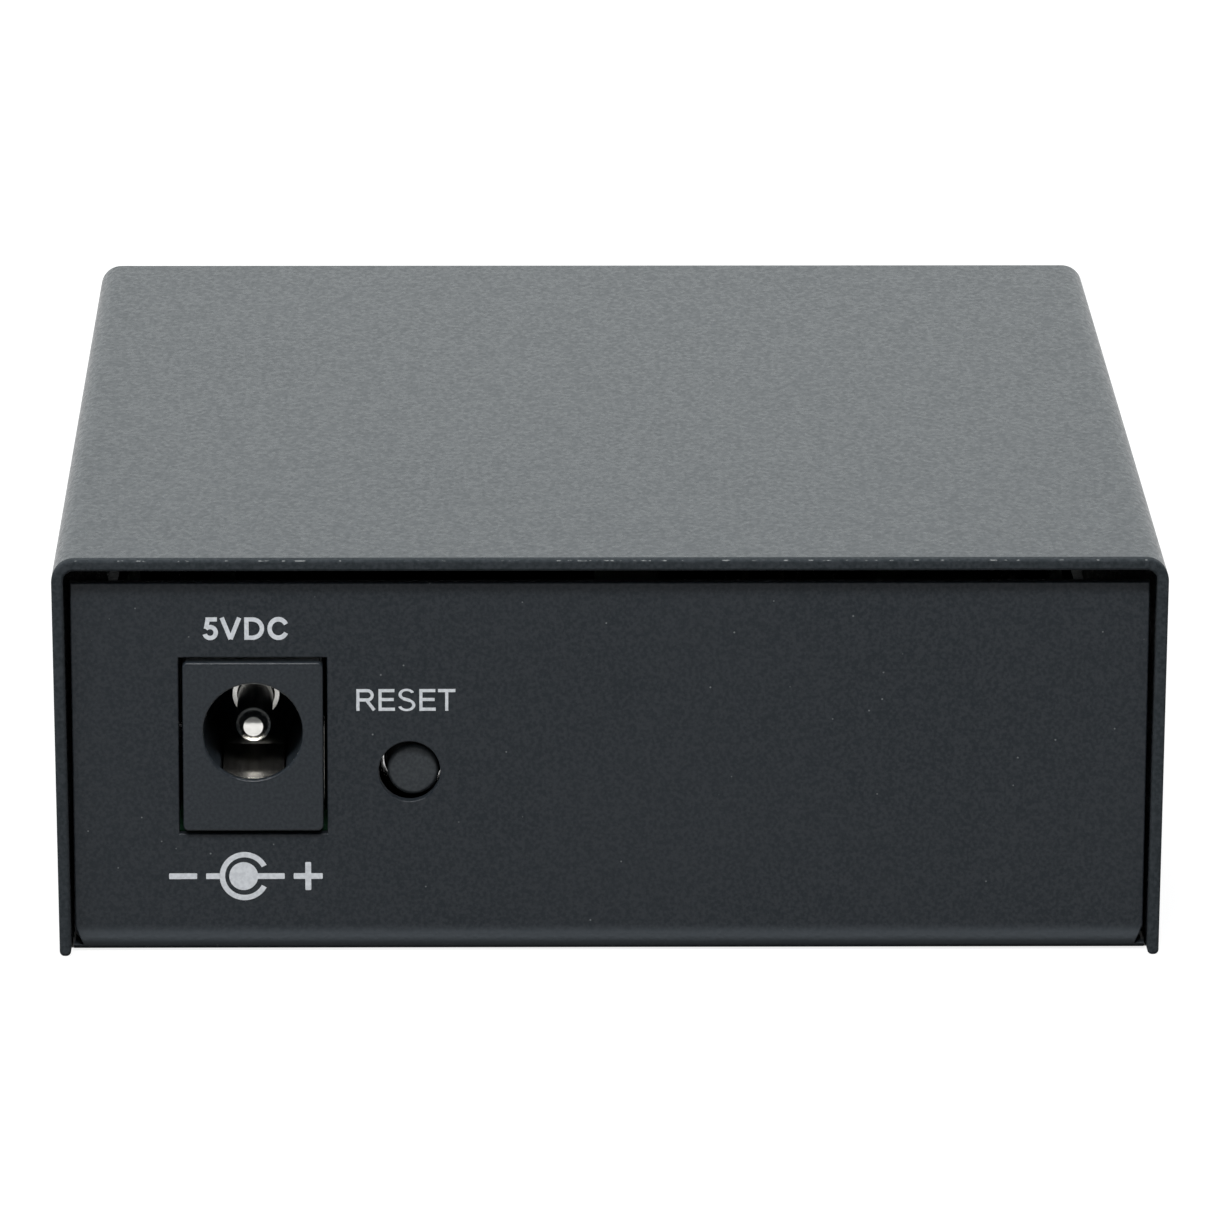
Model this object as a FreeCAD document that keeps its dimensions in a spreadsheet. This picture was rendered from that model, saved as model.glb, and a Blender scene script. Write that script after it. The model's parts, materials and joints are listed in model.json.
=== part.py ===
# Fibre media converter: a folded sheet-metal box, a circuit board on four standoffs, a power jack and
# a recessed reset button in the rear panel, and a copper port, a duplex fibre port and six status lamps
# in the front panel.
#
# Millimetres. X points right, Y points from the rear panel to the front panel, Z points up. The origin
# is under the middle of the box, on the surface that it stands on.
import FreeCAD, Part
import os
import re
import Sketcher

os.makedirs("parts", exist_ok=True)

doc = FreeCAD.newDocument("fibre_media_converter")
sheet = doc.addObject("Spreadsheet::Sheet", "sizes")

# name of the size, its value, what it is
SIZES = [
    # the folded box
    ("cover_width", "73.0", "outside width of the cover"),
    ("cover_length", "94.0", "length of the cover, rear edge to front edge"),
    ("cover_height", "26.8", "height from the table to the top of the cover"),
    ("sheet", "0.75", "thickness of the steel sheet of cover and tray"),
    ("cover_bend", "1.5", "outside radius of the cover's two bends"),
    ("flange_lean", "0.32", "how far the foot of each cover flange leans in"),
    ("rim_round", "0.2", "rounding that the paint gives the cover's cut edges"),
    ("foot_round", "0.32", "rounding of the flanges' lower edges"),
    ("hole_round", "0.1", "the same on the edges of the end panels and their openings"),
    ("panel_recess", "1.0", "how far the end panels sit inside the cover"),
    ("side_gap", "0.13", "gap between the tray and the feet of the cover's flanges"),
    ("panel_taper", "0.13", "how far each side edge of an end panel leans in towards its foot"),
    ("panel_gap", "1.0", "gap between an end panel and the cover above it"),
    ("tray_bend", "1.3", "outside radius of the tray's bends"),
    ("corner_cut", "0.52", "width of the slanting cut at the lower corners of the panels"),
    ("corner_height", "1.75", "height of that cut's upper end"),
    ("corner_foot", "0.45", "height of its lower end, above the foot of the bend"),
    ("relief_gap", "0.1", "how much wider than the bend the floor's reliefs are"),
    ("ear_height", "9.0", "height of the tray's side ears"),
    ("ear_gap", "0.8", "gap between a side ear and the bend of the panel beside it"),
    # screws
    ("thread_radius", "1.45", "radius of the M3 screws' threaded shank"),
    ("thread_gap", "0.05", "radial gap round a shank in its tapped hole"),
    ("pass_gap", "0.15", "radial gap round a shank in a clearance hole"),
    ("cover_screw_pitch", "64.0", "distance along Y between the two screws of a side"),
    ("cover_screw_height", "5.0", "height of the cover screws' axes"),
    ("cover_screw_length", "3.2", "length of a cover screw"),
    ("countersink", "0.55", "depth of the countersunk head and its seat"),
    ("head_sink", "0.06", "how far a countersunk head sits below the cover's skin"),
    ("pan_head_radius", "2.6", "radius of the board screws' pan head"),
    ("pan_head_height", "1.9", "height of the pan head"),
    ("board_screw_length", "6.0", "length of a board screw under its head"),
    ("screw_point", "0.3", "chamfer at the point of a screw"),
    ("standoff_sink", "0.2", "how far a standoff's foot passes into its body"),
    ("recess_width", "0.6", "width of the arms of the cross recess"),
    ("recess_span", "2.4", "span of the cross recess"),
    ("recess_depth", "0.6", "depth of the cross recess"),
    # board and standoffs
    ("standoff_height", "6.0", "height of the hexagonal standoffs above the floor"),
    ("standoff_radius", "2.8", "corner radius of the hexagon"),
    ("standoff_foot", "1.9", "radius of the foot that is pressed into the floor"),
    ("standoff_bore", "5.4", "depth of the tapped hole in a standoff"),
    ("hole_inset", "3.5", "distance from the board's side edges to its screw holes"),
    ("standoff_pitch", "50.0", "distance along Y between the standoffs"),
    ("board_thickness", "1.6", "thickness of the circuit board"),
    ("board_side_gap", "0.55", "gap between the board and the tray's side ears"),
    ("board_gap", "0.6", "gap between the board's ends and the panels"),
    ("pin_gap", "0.2", "gap round a lead in its hole in the board"),
    ("tail", "1.6", "how far a lead stands out under the board"),
    # power jack
    ("jack_inset", "10.6", "distance from the board's left edge to the jack's axis"),
    ("jack_width", "9.2", "width of the jack"),
    ("jack_height", "11.4", "height of the jack's collar above the board"),
    ("jack_depth", "14.2", "depth of the jack"),
    ("jack_proud", "0.35", "how far the collar stands out of the panel"),
    ("jack_axis", "6.7", "height of the jack's axis above the board"),
    ("collar_depth", "3.4", "depth of the jack's square collar"),
    ("jack_barrel", "4.3", "radius of the rounded barrel behind the collar"),
    ("jack_bore", "3.25", "radius of the bore for the plug"),
    ("jack_bore_depth", "10.2", "depth of that bore"),
    ("jack_mouth", "0.18", "rounding of the collar's front edges and of the mouth of the bore"),
    ("jack_corner", "0.35", "rounding of the collar's corners"),
    ("jack_gap", "0.26", "gap round the collar in its window"),
    ("centre_pin", "1.17", "radius of the centre pin"),
    ("centre_pin_recess", "1.4", "how far the pin's tip sits inside the collar's face"),
    ("centre_pin_tip", "0.55", "rounding of the pin's tip"),
    ("centre_pin_root", "1.55", "radius of the pin's root in the moulding"),
    ("root_rim", "0.2", "width of the raised rim round the pin's root"),
    ("root_groove", "0.3", "depth of the groove between that rim and the pin"),
    ("pin_blade_rise", "0.4", "how far the pin's solder blade stands above the pin"),
    ("fit_gap", "0.03", "radial gap round what is pressed into a moulding"),
    ("leaf_width", "4.0", "width of the leaf spring that meets the plug's sleeve"),
    ("leaf_thickness", "0.25", "thickness of the leaf spring"),
    ("leaf_front", "0.6", "distance from the collar's face to the leaf's front end"),
    ("leaf_bend", "1.4", "the same to the bend where the leaf starts to rise"),
    ("leaf_crest", "5.0", "the same to the crest where the leaf meets the sleeve"),
    ("leaf_rise", "2.05", "distance from the jack's axis down to that crest"),
    ("leaf_drop", "0.9", "how far the leaf's front end lies below the crest"),
    ("leaf_slot", "3.7", "depth of the channel under the bore, from the axis"),
    ("leaf_clear", "0.15", "gap between the leaf and the sides of its channel"),
    ("leaf_tuck", "0.4", "how far the leaf's front end dips below its bend"),
    ("leaf_curl", "3.0", "radius of that bend"),
    ("leaf_blade_inset", "1.2", "distance from the bottom of the bore forward to the leaf's solder blade"),
    ("side_blade_setback", "3.6", "distance from the collar's rear to the middle of the side blade"),
    ("side_blade_drop", "1.0", "how far the side blade's top lies below the jack's axis"),
    ("side_blade_seat", "0.3", "how deep the side blade's seat is cut into the barrel"),
    ("blade_width", "2.6", "width of the jack's solder blades"),
    ("blade_thickness", "0.5", "thickness of the jack's solder blades"),
    # reset switch
    ("reset_spacing", "10.49", "distance from the jack's axis to the button's axis"),
    ("reset_axis", "3.95", "height of its axis above the board"),
    ("reset_hole", "2.02", "radius of the hole in the panel"),
    ("reset_hole_shift", "0.23", "how far the hole sits to the left of the button"),
    ("button_radius", "1.7", "radius of the button"),
    ("button_recess", "0.5", "how far the button's face sits inside the panel"),
    ("button_round", "0.3", "rounding of the button's edge"),
    ("button_gap", "0.06", "running gap round the button's stem"),
    ("press_travel", "0.25", "travel of the button"),
    ("switch_size", "6.2", "width and height of the switch body"),
    ("switch_depth", "3.6", "depth of the switch body"),
    ("switch_setback", "3.2", "gap between the panel and the switch body"),
    ("switch_wall", "0.8", "wall of the switch body"),
    ("switch_edge", "0.5", "chamfer of the switch body's corners"),
    ("flange_gap", "0.2", "gap round the button's flange in the body"),
    ("flange_radius", "2.2", "radius of the flange that keeps the button in"),
    ("flange_thickness", "0.7", "thickness of that flange"),
    ("dome_height", "0.5", "height of the snap dome"),
    ("dome_metal", "0.12", "thickness of the snap dome"),
    ("bracket_sheet", "0.3", "thickness of the switch's bracket"),
    ("bracket_gap", "0.11", "radial gap between the button and the rim of the bracket's hole"),
    ("bracket_arm", "2.6", "how far the bracket's arms reach back beside the switch"),
    ("bracket_leg", "1.2", "width of the bracket's legs"),
    ("bracket_leg_setback", "1.0", "distance from the switch's front to those legs"),
    ("switch_pin_pitch", "4.5", "distance between the switch's leads"),
    ("switch_pin", "0.35", "radius of the switch's leads"),
    ("switch_pin_setback", "0.8", "distance from the switch's rear to its leads"),
    # copper port
    ("copper_side", "12.5", "where the copper port sits along X"),
    ("copper_width", "16.0", "width of the copper port's shield"),
    ("copper_height", "13.4", "height of the copper port's shield"),
    ("copper_depth", "15.6", "depth of the copper port's shield"),
    ("port_proud", "0.85", "how far the ports stand out of the front panel"),
    ("port_gap", "0.2", "gap round a port in its window"),
    ("shield_sheet", "0.25", "thickness of the copper port's shield"),
    ("plug_width", "11.9", "width of the plug's opening"),
    ("plug_height", "6.8", "height of the plug's opening"),
    ("plug_floor", "4.3", "height of the opening's floor above the board"),
    ("plug_depth", "12.6", "depth of the opening"),
    ("tab_width", "6.3", "width of the slot for the plug's tab"),
    ("tab_drop", "1.7", "depth of that slot"),
    ("tab_tip_width", "3.6", "width of the lower slot for the tab's tip"),
    ("tab_tip_drop", "1.0", "depth of that lower slot"),
    ("wire_pitch", "1.02", "pitch of the eight spring contacts"),
    ("wire", "0.35", "thickness of a spring contact"),
    ("wire_fold", "2.8", "distance from the port's face to the fold of the contacts"),
    ("wire_end", "10.6", "the same to their free ends"),
    ("wire_fall", "2.8", "how far the free ends hang below the opening's roof"),
    ("wire_turn", "0.8", "length of the fold"),
    ("peg_radius", "1.55", "radius of the port's locating pegs"),
    ("peg_spread", "11.4", "distance between the pegs"),
    ("peg_setback", "9.0", "distance from the copper port's rear to its pegs"),
    ("port_lead_setback", "3.0", "distance from the copper port's rear to its rear row of leads"),
    ("port_lead_step", "2.54", "distance between its two rows of leads"),
    ("lip_side", "0.5", "how much wider than the opening the window of the shield is, on each side"),
    ("lip_low", "0.4", "how much lower than the slot for the tab that window reaches"),
    ("lead_radius", "0.25", "radius of the ports' round leads"),
    # fibre port and optical module
    ("fibre_inset", "21.0", "distance from the board's left edge to the middle of the fibre port"),
    ("fibre_width", "25.4", "width of the fibre port"),
    ("fibre_height", "10.4", "height of the fibre port above the board"),
    ("fibre_depth", "16.0", "depth of the fibre port's housing"),
    ("fibre_pitch", "12.7", "distance between the two fibres"),
    ("fibre_round", "0.5", "rounding of the housing's long edges"),
    ("well_edge", "0.4", "chamfer round the mouths of the openings"),
    ("well_width", "9.2", "width of each of the two openings"),
    ("well_height", "7.6", "height of each opening"),
    ("well_depth", "14.0", "depth of each opening"),
    ("key_width", "2.4", "width of the key slot over each opening"),
    ("key_height", "0.8", "height of the key slot"),
    ("key_depth", "10.0", "depth of the key slot"),
    ("sleeve_outer", "2.3", "outside radius of the ferrule sleeves"),
    ("sleeve_bore", "1.25", "radius of the bore for the ferrule"),
    ("sleeve_length", "8.6", "length of a ferrule sleeve"),
    ("sleeve_edge", "0.4", "chamfer of a sleeve's outer edge"),
    ("sleeve_lead_in", "0.25", "chamfer of its bore"),
    ("sleeve_root", "1.4", "length of a sleeve's root in the housing"),
    ("latch_reach", "7.6", "length of the latch arms"),
    ("latch_thickness", "0.7", "thickness of the latch arms"),
    ("latch_height", "3.0", "height of the latch arms"),
    ("latch_hook", "0.7", "how far a hook reaches inwards"),
    ("latch_gap", "0.3", "gap between a hook and the sleeve"),
    ("hook_length", "1.4", "length of a hook along its arm"),
    ("hook_flat", "0.5", "length of the hook's flat inner face"),
    ("clip_gap", "0.1", "gap round a clip's plate in its opening"),
    ("module_depth", "23.0", "depth of the optical module behind the port"),
    ("module_height", "9.6", "height of the optical module"),
    ("module_edge", "0.8", "chamfer round the module's top"),
    ("module_lid", "0.3", "thickness of the module's metal lid"),
    ("module_pin_pitch", "2.54", "pitch of the module's nine leads"),
    ("module_pin_inset", "2.0", "distance of those leads from the module's rear end"),
    ("stud_radius", "0.95", "radius of the module's mounting studs"),
    ("stud_spread", "20.32", "distance between the studs"),
    ("stud_setback", "4.0", "distance from the fibre housing's rear to those studs"),
    # status lamps
    ("lamp_inset", "5.4", "distance from the board's right edge to the middle of the lamps"),
    ("lamp_column", "4.0", "distance between the two columns of lamps"),
    ("lamp_row", "3.4", "distance between the rows of lamps"),
    ("lamp_low", "2.4", "height of the lowest lamps above the board"),
    ("lamp_radius", "1.0", "radius of a lamp"),
    ("lamp_proud", "0.5", "how far a lamp stands out of the panel"),
    ("lamp_gap", "0.12", "radial gap round a lamp in the panel"),
    ("lamp_base", "3.0", "length of the lamp behind the panel"),
    ("holder_depth", "6.4", "depth of the lamp holder"),
    ("holder_wall", "0.9", "wall of the holder outside the lamps"),
    ("holder_setback", "0.5", "gap between the panel and the lamp holder"),
    ("lamp_lead_setback", "1.3", "distance from the holder's front to the first leads"),
    ("lamp_lead_step", "1.9", "distance between the leads behind each other"),
    # parts on the board
    ("edge_inset", "9.0", "distance from the board's side edges to the parts beside them"),
    ("transformer_setback", "12.75", "distance from the copper port's rear to the transformer's middle"),
    ("chip_setback", "17.5", "distance along Y from the transformer's middle to the chip's middle"),
    ("chip_shift", "3.0", "how far the chip sits to the left of the copper port's middle"),
    ("row_gap", "4.5", "distance from the chip's edges to the rows of small parts"),
    ("row_step", "3.0", "distance between two rows of small parts"),
    ("column_gap", "3.1", "distance from the chip's side edges to the columns of small parts"),
    ("part_pitch", "4.0", "pitch of the small parts in a row"),
    ("can_setback", "8.7", "distance from the board's rear end to the capacitors beside the reset switch"),
    ("can_pitch", "8.5", "distance between those capacitors"),
    ("diode_setback", "10.15", "distance from the jack's rear to the diode and the capacitor beside it"),
    ("inductor_setback", "23.65", "distance from the jack's rear to the inductor and the regulator"),
    ("transformer_length", "12.7", "length of the line transformer"),
    ("transformer_width", "7.1", "width of the line transformer"),
    ("transformer_height", "5.6", "height of the line transformer"),
    ("transformer_edge", "0.4", "chamfer round its top"),
    ("transformer_lead", "0.45", "width of its leads"),
    ("transformer_pitch", "1.27", "pitch of its leads"),
    ("chip_side", "10.0", "side of the converter chip"),
    ("chip_height", "1.4", "height of the converter chip"),
    ("chip_pitch", "0.5", "pitch of its leads"),
    ("chip_edge", "0.2", "chamfer round the top of a chip"),
    ("chip_lead", "0.22", "width of the converter chip's leads"),
    ("chip_rise", "0.1", "gap between a chip and the board"),
    ("memory_length", "4.9", "length of the memory chip"),
    ("memory_width", "3.9", "width of the memory chip"),
    ("memory_height", "1.5", "height of the memory chip"),
    ("memory_lead", "0.42", "width of its leads"),
    ("foot", "0.6", "length of a gull-wing lead's foot"),
    ("reach", "0.4", "length of a gull-wing lead's shoulder"),
    ("lead_metal", "0.15", "thickness of a gull-wing lead"),
    ("crystal_length", "11.2", "length of the crystal can"),
    ("crystal_width", "4.6", "width of the crystal can"),
    ("crystal_height", "3.5", "height of the crystal can"),
    ("regulator_length", "6.5", "length of the voltage regulator"),
    ("regulator_width", "3.5", "width of the voltage regulator"),
    ("regulator_height", "1.6", "height of the voltage regulator"),
    ("regulator_pitch", "2.3", "pitch of its leads"),
    ("regulator_edge", "0.25", "chamfer round its top"),
    ("regulator_leg", "0.7", "width of its leads"),
    ("regulator_tab", "3.0", "width of its tab"),
    ("inductor_side", "7.3", "side of the power inductor"),
    ("inductor_height", "4.5", "height of the power inductor"),
    ("inductor_edge", "0.6", "chamfer round its top"),
    ("can_radius", "3.15", "radius of the electrolytic capacitors"),
    ("can_height", "7.7", "height of the electrolytic capacitors"),
    ("chip_part_length", "1.6", "length of a chip capacitor or resistor"),
    ("chip_part_width", "0.8", "width of a chip capacitor or resistor"),
    ("ceramic_height", "0.8", "height of a chip capacitor"),
    ("resistor_height", "0.45", "height of a chip resistor"),
    ("diode_length", "4.3", "length of the power diode"),
    ("diode_width", "2.6", "width of the power diode"),
    ("diode_height", "2.2", "height of the power diode"),
    ("diode_edge", "0.3", "chamfer round its top"),
    ("fuse_length", "4.6", "length of the input fuse"),
    ("fuse_width", "3.2", "width of the input fuse"),
    ("fuse_height", "0.9", "height of the input fuse"),
]
for row, (alias, value, meaning) in enumerate(SIZES, 1):
    sheet.set(f"A{row}", meaning)
    sheet.set(f"B{row}", value)
    sheet.setAlias(f"B{row}", alias)
doc.recompute()

ALIASES = {alias for alias, _, _ in SIZES}

# places that several pieces share, as sums of the sizes
PLACES = {
    "tray_half": "(cover_width/2 - flange_lean - sheet - side_gap)",
    "ear_end": "(cover_length/2 - panel_recess - tray_bend - ear_gap)",
    "board_half": "(cover_width/2 - flange_lean - 2*sheet - side_gap - board_side_gap)",
    "board_end": "(cover_length/2 - panel_recess - sheet - board_gap)",
    "jack_side": "(-cover_width/2 + flange_lean + 2*sheet + side_gap + board_side_gap + jack_inset)",
    "reset_side": "(-cover_width/2 + flange_lean + 2*sheet + side_gap + board_side_gap + jack_inset"
                  " + reset_spacing)",
    "fibre_side": "(-cover_width/2 + flange_lean + 2*sheet + side_gap + board_side_gap + fibre_inset)",
    "lamp_side": "(cover_width/2 - flange_lean - 2*sheet - side_gap - board_side_gap - lamp_inset)",
    "panel_face": "(cover_length/2 - panel_recess)",
    "panel_back": "(cover_length/2 - panel_recess - sheet)",
    "panel_top": "(cover_height - sheet - panel_gap)",
    "board_under": "(sheet + standoff_height)",
    "board_top": "(sheet + standoff_height + board_thickness)",
    "jack_front": "(-cover_length/2 + panel_recess - jack_proud)",
    "jack_centre": "(sheet + standoff_height + board_thickness + jack_axis)",
    "reset_centre": "(sheet + standoff_height + board_thickness + reset_axis)",
    "switch_front": "(-cover_length/2 + panel_recess + sheet + switch_setback)",
    "port_front": "(cover_length/2 - panel_recess + port_proud)",
    "tail_end": "(sheet + standoff_height - tail)",
    "well_middle": "(sheet + standoff_height + board_thickness + fibre_height/2)",
}


def ex(text):
    """Write a sum of sizes and shared places as an expression that reads the sheet."""
    text = re.sub(r"[a-z_]+", lambda found: PLACES.get(found[0], found[0]), str(text))
    return re.sub(r"[a-z_]+", lambda found: "sizes." + found[0] if found[0] in ALIASES else found[0], text)


def val(text):
    return float(sheet.evalExpression(ex(text)))


def bind(thing, **sizes):
    """Tie properties to the sheet; Base_x stands for Placement.Base.x."""
    for name, text in sizes.items():
        thing.setExpression(name.replace("Base_", "Placement.Base."), ex(text))


# ---- sketches and features of the bodies ----------------------------------------------------------

def body(label):
    made = doc.addObject("PartDesign::Body", label)
    made.Label = label
    return made


def rect(left, right, low, high):
    return [(left, low), (right, low), (right, high), (left, high)]


def sketch(owner, role, outlines, offset):
    """A sketch on one of the body's origin planes: polygons of (x, y), circles of (x, y, radius)."""
    made = owner.newObject("Sketcher::SketchObject", "outline")
    made.AttachmentSupport = [(next(f for f in owner.Origin.OriginFeatures if f.Role == role), "")]
    made.MapMode = "FlatFace"
    made.setExpression("AttachmentOffset.Base.z", ex(offset))
    held = []
    for outline in outlines:
        first = made.GeometryCount
        if isinstance(outline, tuple):
            x, y, radius = outline
            middle = FreeCAD.Vector(val(x), val(y), 0)
            made.addGeometry(Part.Circle(middle, FreeCAD.Vector(0, 0, 1), val(radius)))
            held += [("DistanceX", (-1, 1, first, 3), x), ("DistanceY", (-1, 1, first, 3), y),
                     ("Radius", (first,), radius)]
            continue
        corners = [FreeCAD.Vector(val(x), val(y), 0) for x, y in outline]
        count = len(corners)
        for i in range(count):
            made.addGeometry(Part.LineSegment(corners[i], corners[(i + 1) % count]))
        for i, (x, y) in enumerate(outline):
            made.addConstraint(Sketcher.Constraint("Coincident", first + i, 2, first + (i + 1) % count, 1))
            held += [("DistanceX", (-1, 1, first + i, 1), x), ("DistanceY", (-1, 1, first + i, 1), y)]
    for kind, where, text in held:
        index = made.addConstraint(Sketcher.Constraint(kind, *where, val(text)))
        made.setExpression(f"Constraints[{index}]", ex(text))
    return made


def extrude(owner, kind, role, outlines, start, end):
    """Pad or pocket between two places on the axis that is square to the plane."""
    down = role == "XZ_Plane"  # this plane's normal points to -Y
    near_end = down != (kind == "PartDesign::Pocket")
    base = end if near_end else start
    drawn = sketch(owner, role, outlines, f"-1*({base})" if down else base)
    made = owner.newObject(kind, kind.split("::")[1].lower())
    made.Profile = drawn
    made.setExpression("Length", ex(f"({end}) - ({start})"))
    return made


def pad(owner, role, outlines, start, end):
    made = extrude(owner, "PartDesign::Pad", role, outlines, start, end)
    doc.recompute()
    return made


def pocket(owner, role, outlines, start, end):
    before = owner.Shape.Volume
    made = extrude(owner, "PartDesign::Pocket", role, outlines, start, end)
    doc.recompute()
    if owner.Shape.Volume > before - 1e-6:
        raise RuntimeError(f"{owner.Label}: a pocket cut nothing")
    return made


def turn(owner, role, profile, axis):
    """Revolve a closed profile round one of its own sketch's axes."""
    drawn = sketch(owner, role, [profile], "0")
    made = owner.newObject("PartDesign::Revolution", "turned")
    made.Profile = drawn
    made.ReferenceAxis = (drawn, [axis])
    made.Angle = 360
    doc.recompute()
    return made


def lies(edge, **where):
    """Does the edge lie at a place, such as y=..., or reach from one to another, such as x=(..., ...)?"""
    box = edge.BoundBox
    ends = {"x": (box.XMin, box.XMax), "y": (box.YMin, box.YMax), "z": (box.ZMin, box.ZMax)}
    return all(abs(end - val(text)) < 1e-3 for axis, place in where.items()
               for end, text in zip(ends[axis], place if isinstance(place, tuple) else (place, place)))


def dress(owner, kind, size, wheres, but):
    """Fillet or chamfer the edges that lie at the named places, but not those at the place "but"."""
    tip = owner.Tip
    names = [f"Edge{i}" for i, edge in enumerate(tip.Shape.Edges, 1)
             if any(lies(edge, **where) for where in wheres) and not (but and lies(edge, **but))]
    if not names:
        raise RuntimeError(f"{owner.Label}: no edge to dress")
    made = owner.newObject(f"PartDesign::{kind}", kind.lower())
    made.Base = (tip, names)
    made.setExpression("Radius" if kind == "Fillet" else "Size", ex(size))
    doc.recompute()
    return made


def fillet(owner, radius, *wheres, but=None):
    return dress(owner, "Fillet", radius, wheres, but)


def chamfer(owner, size, *wheres, but=None):
    return dress(owner, "Chamfer", size, wheres, but)


# ---- primitives, groups and booleans --------------------------------------------------------------

def block(label, x, y, z):
    """A box from three pairs of places."""
    made = doc.addObject("Part::Box", label)
    sides, bases = ("Length", "Width", "Height"), ("Base_x", "Base_y", "Base_z")
    for side, base, (low, high) in zip(sides, bases, (x, y, z)):
        bind(made, **{side: f"({high}) - ({low})", base: low})
    return made


def rod(label, radius, x, y, low, high):
    """An upright cylinder."""
    made = doc.addObject("Part::Cylinder", label)
    bind(made, Radius=radius, Height=f"({high}) - ({low})", Base_x=x, Base_y=y, Base_z=low)
    return made


def group(label, members):
    made = doc.addObject("Part::Compound", label)
    made.Label = label
    made.Links = members
    return made


def repeat(label, master, spots):
    """A group of equal solids: each spot is x, y, z and a turn about Z in degrees."""
    copies = []
    for x, y, z, degrees in spots:
        copy = doc.addObject("App::Link", label + "_copy")
        copy.LinkedObject = master
        turned = FreeCAD.Rotation(FreeCAD.Vector(0, 0, 1), degrees)
        copy.Placement = FreeCAD.Placement(FreeCAD.Vector(), turned)
        bind(copy, Base_x=x, Base_y=y, Base_z=z)
        copies.append(copy)
    return group(label, copies)


def row(count, pitch):
    """Places of a centred row."""
    return [f"({i - (count - 1) / 2})*{pitch}" for i in range(count)]


def cross(owner, role, start, end):
    """A cross recess in a screw's head, round the body's own origin."""
    arm, half = "recess_width/2", "recess_span/2"
    pocket(owner, role, [[(f"-{half}", f"-{arm}"), (f"-{arm}", f"-{arm}"), (f"-{arm}", f"-{half}"),
                          (arm, f"-{half}"), (arm, f"-{arm}"), (half, f"-{arm}"), (half, arm), (arm, arm),
                          (arm, half), (f"-{arm}", half), (f"-{arm}", arm), (f"-{half}", arm)]], start, end)


# ---- the cover: one sheet, folded twice -----------------------------------------------------------

skin = "(cover_width/2 - flange_lean*(1 - cover_screw_height/cover_height))"
cover = body("top_cover")
crown, hem = "cover_width/2", "(cover_width/2 - flange_lean)"
pad(cover, "XZ_Plane", [[
    (f"-{hem}", "0"), (f"-{hem} + sheet", "0"), (f"-{crown} + sheet", "cover_height - sheet"),
    (f"{crown} - sheet", "cover_height - sheet"), (f"{hem} - sheet", "0"), (hem, "0"),
    (crown, "cover_height"), (f"-{crown}", "cover_height")]], "-cover_length/2", "cover_length/2")
fillet(cover, "cover_bend", {"x": crown, "z": "cover_height"}, {"x": f"-{crown}", "z": "cover_height"})
fillet(cover, "cover_bend - sheet", {"x": f"{crown} - sheet", "z": "cover_height - sheet"},
       {"x": f"-{crown} + sheet", "z": "cover_height - sheet"})
fillet(cover, "foot_round", *({"x": side, "z": "0"} for side in (
    hem, f"-{hem}", f"{hem} - sheet", f"-{hem} + sheet")))
fillet(cover, "rim_round", {"y": "-cover_length/2"}, {"y": "cover_length/2"})
screw_rows = ("-cover_screw_pitch/2", "cover_screw_pitch/2")
pocket(cover, "YZ_Plane", [(y, "cover_screw_height", "thread_radius + pass_gap") for y in screw_rows],
       "-cover_width/2 - 1", "cover_width/2 + 1")
drilled = cover.Tip
rims = [f"Edge{i}" for i, edge in enumerate(drilled.Shape.Edges, 1)
        if abs(abs(edge.BoundBox.Center.x) - val(skin)) < val("sheet/4")
        and 0.1 < edge.BoundBox.YLength < val("2*thread_radius + 2*pass_gap") + 0.01
        and abs(edge.BoundBox.Center.z - val("cover_screw_height")) < 0.01]
seats = cover.newObject("PartDesign::Chamfer", "countersinks")
seats.Base = (drilled, rims)
bind(seats, Size="countersink")
doc.recompute()

# ---- the tray: floor, two end panels and two side ears folded from one sheet ----------------------

tray = body("base_tray")
pad(tray, "YZ_Plane", [[
    ("-panel_face", "0"), ("panel_face", "0"), ("panel_face", "panel_top"), ("panel_back", "panel_top"),
    ("panel_back", "sheet"), ("-panel_back", "sheet"), ("-panel_back", "panel_top"),
    ("-panel_face", "panel_top")]], "-tray_half", "tray_half")
fillet(tray, "tray_bend", {"y": "panel_face", "z": "0"}, {"y": "-panel_face", "z": "0"})
fillet(tray, "tray_bend - sheet", {"y": "panel_back", "z": "sheet"}, {"y": "-panel_back", "z": "sheet"})

# the corners: the panels taper and end in a slanting cut, the floor has a relief beside each ear
foot = "(tray_half - panel_taper)"
edge_cut = [("tray_half", "panel_top"), ("tray_half + 1", "panel_top"), ("tray_half + 1", "corner_foot"),
            (f"{foot} - corner_cut", "corner_foot"), (foot, "corner_height")]
edge_cuts = [edge_cut, [(f"-1*({x})", z) for x, z in edge_cut]]
pocket(tray, "XZ_Plane", edge_cuts, "-cover_length/2", "-panel_face + tray_bend")
pocket(tray, "XZ_Plane", edge_cuts, "panel_face - tray_bend", "cover_length/2")
relief = "(tray_half - tray_bend - relief_gap)"
pocket(tray, "XY_Plane", [rect(*across, *along)
                          for across in (("-tray_half - 1", f"-1*{relief}"), (relief, "tray_half + 1"))
                          for along in (("-panel_face + tray_bend", "-ear_end"),
                                        ("ear_end", "panel_face - tray_bend"))], "-1", "sheet + 1")
pad(tray, "XZ_Plane", [rect("-tray_half", "-tray_half + sheet", "0", "ear_height"),
                       rect("tray_half - sheet", "tray_half", "0", "ear_height")], "-ear_end", "ear_end")
fillet(tray, "tray_bend", {"x": "tray_half", "z": "0"}, {"x": "-tray_half", "z": "0"})
fillet(tray, "tray_bend - sheet", {"x": "tray_half - sheet", "z": "sheet"},
       {"x": "-tray_half + sheet", "z": "sheet"})

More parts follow.
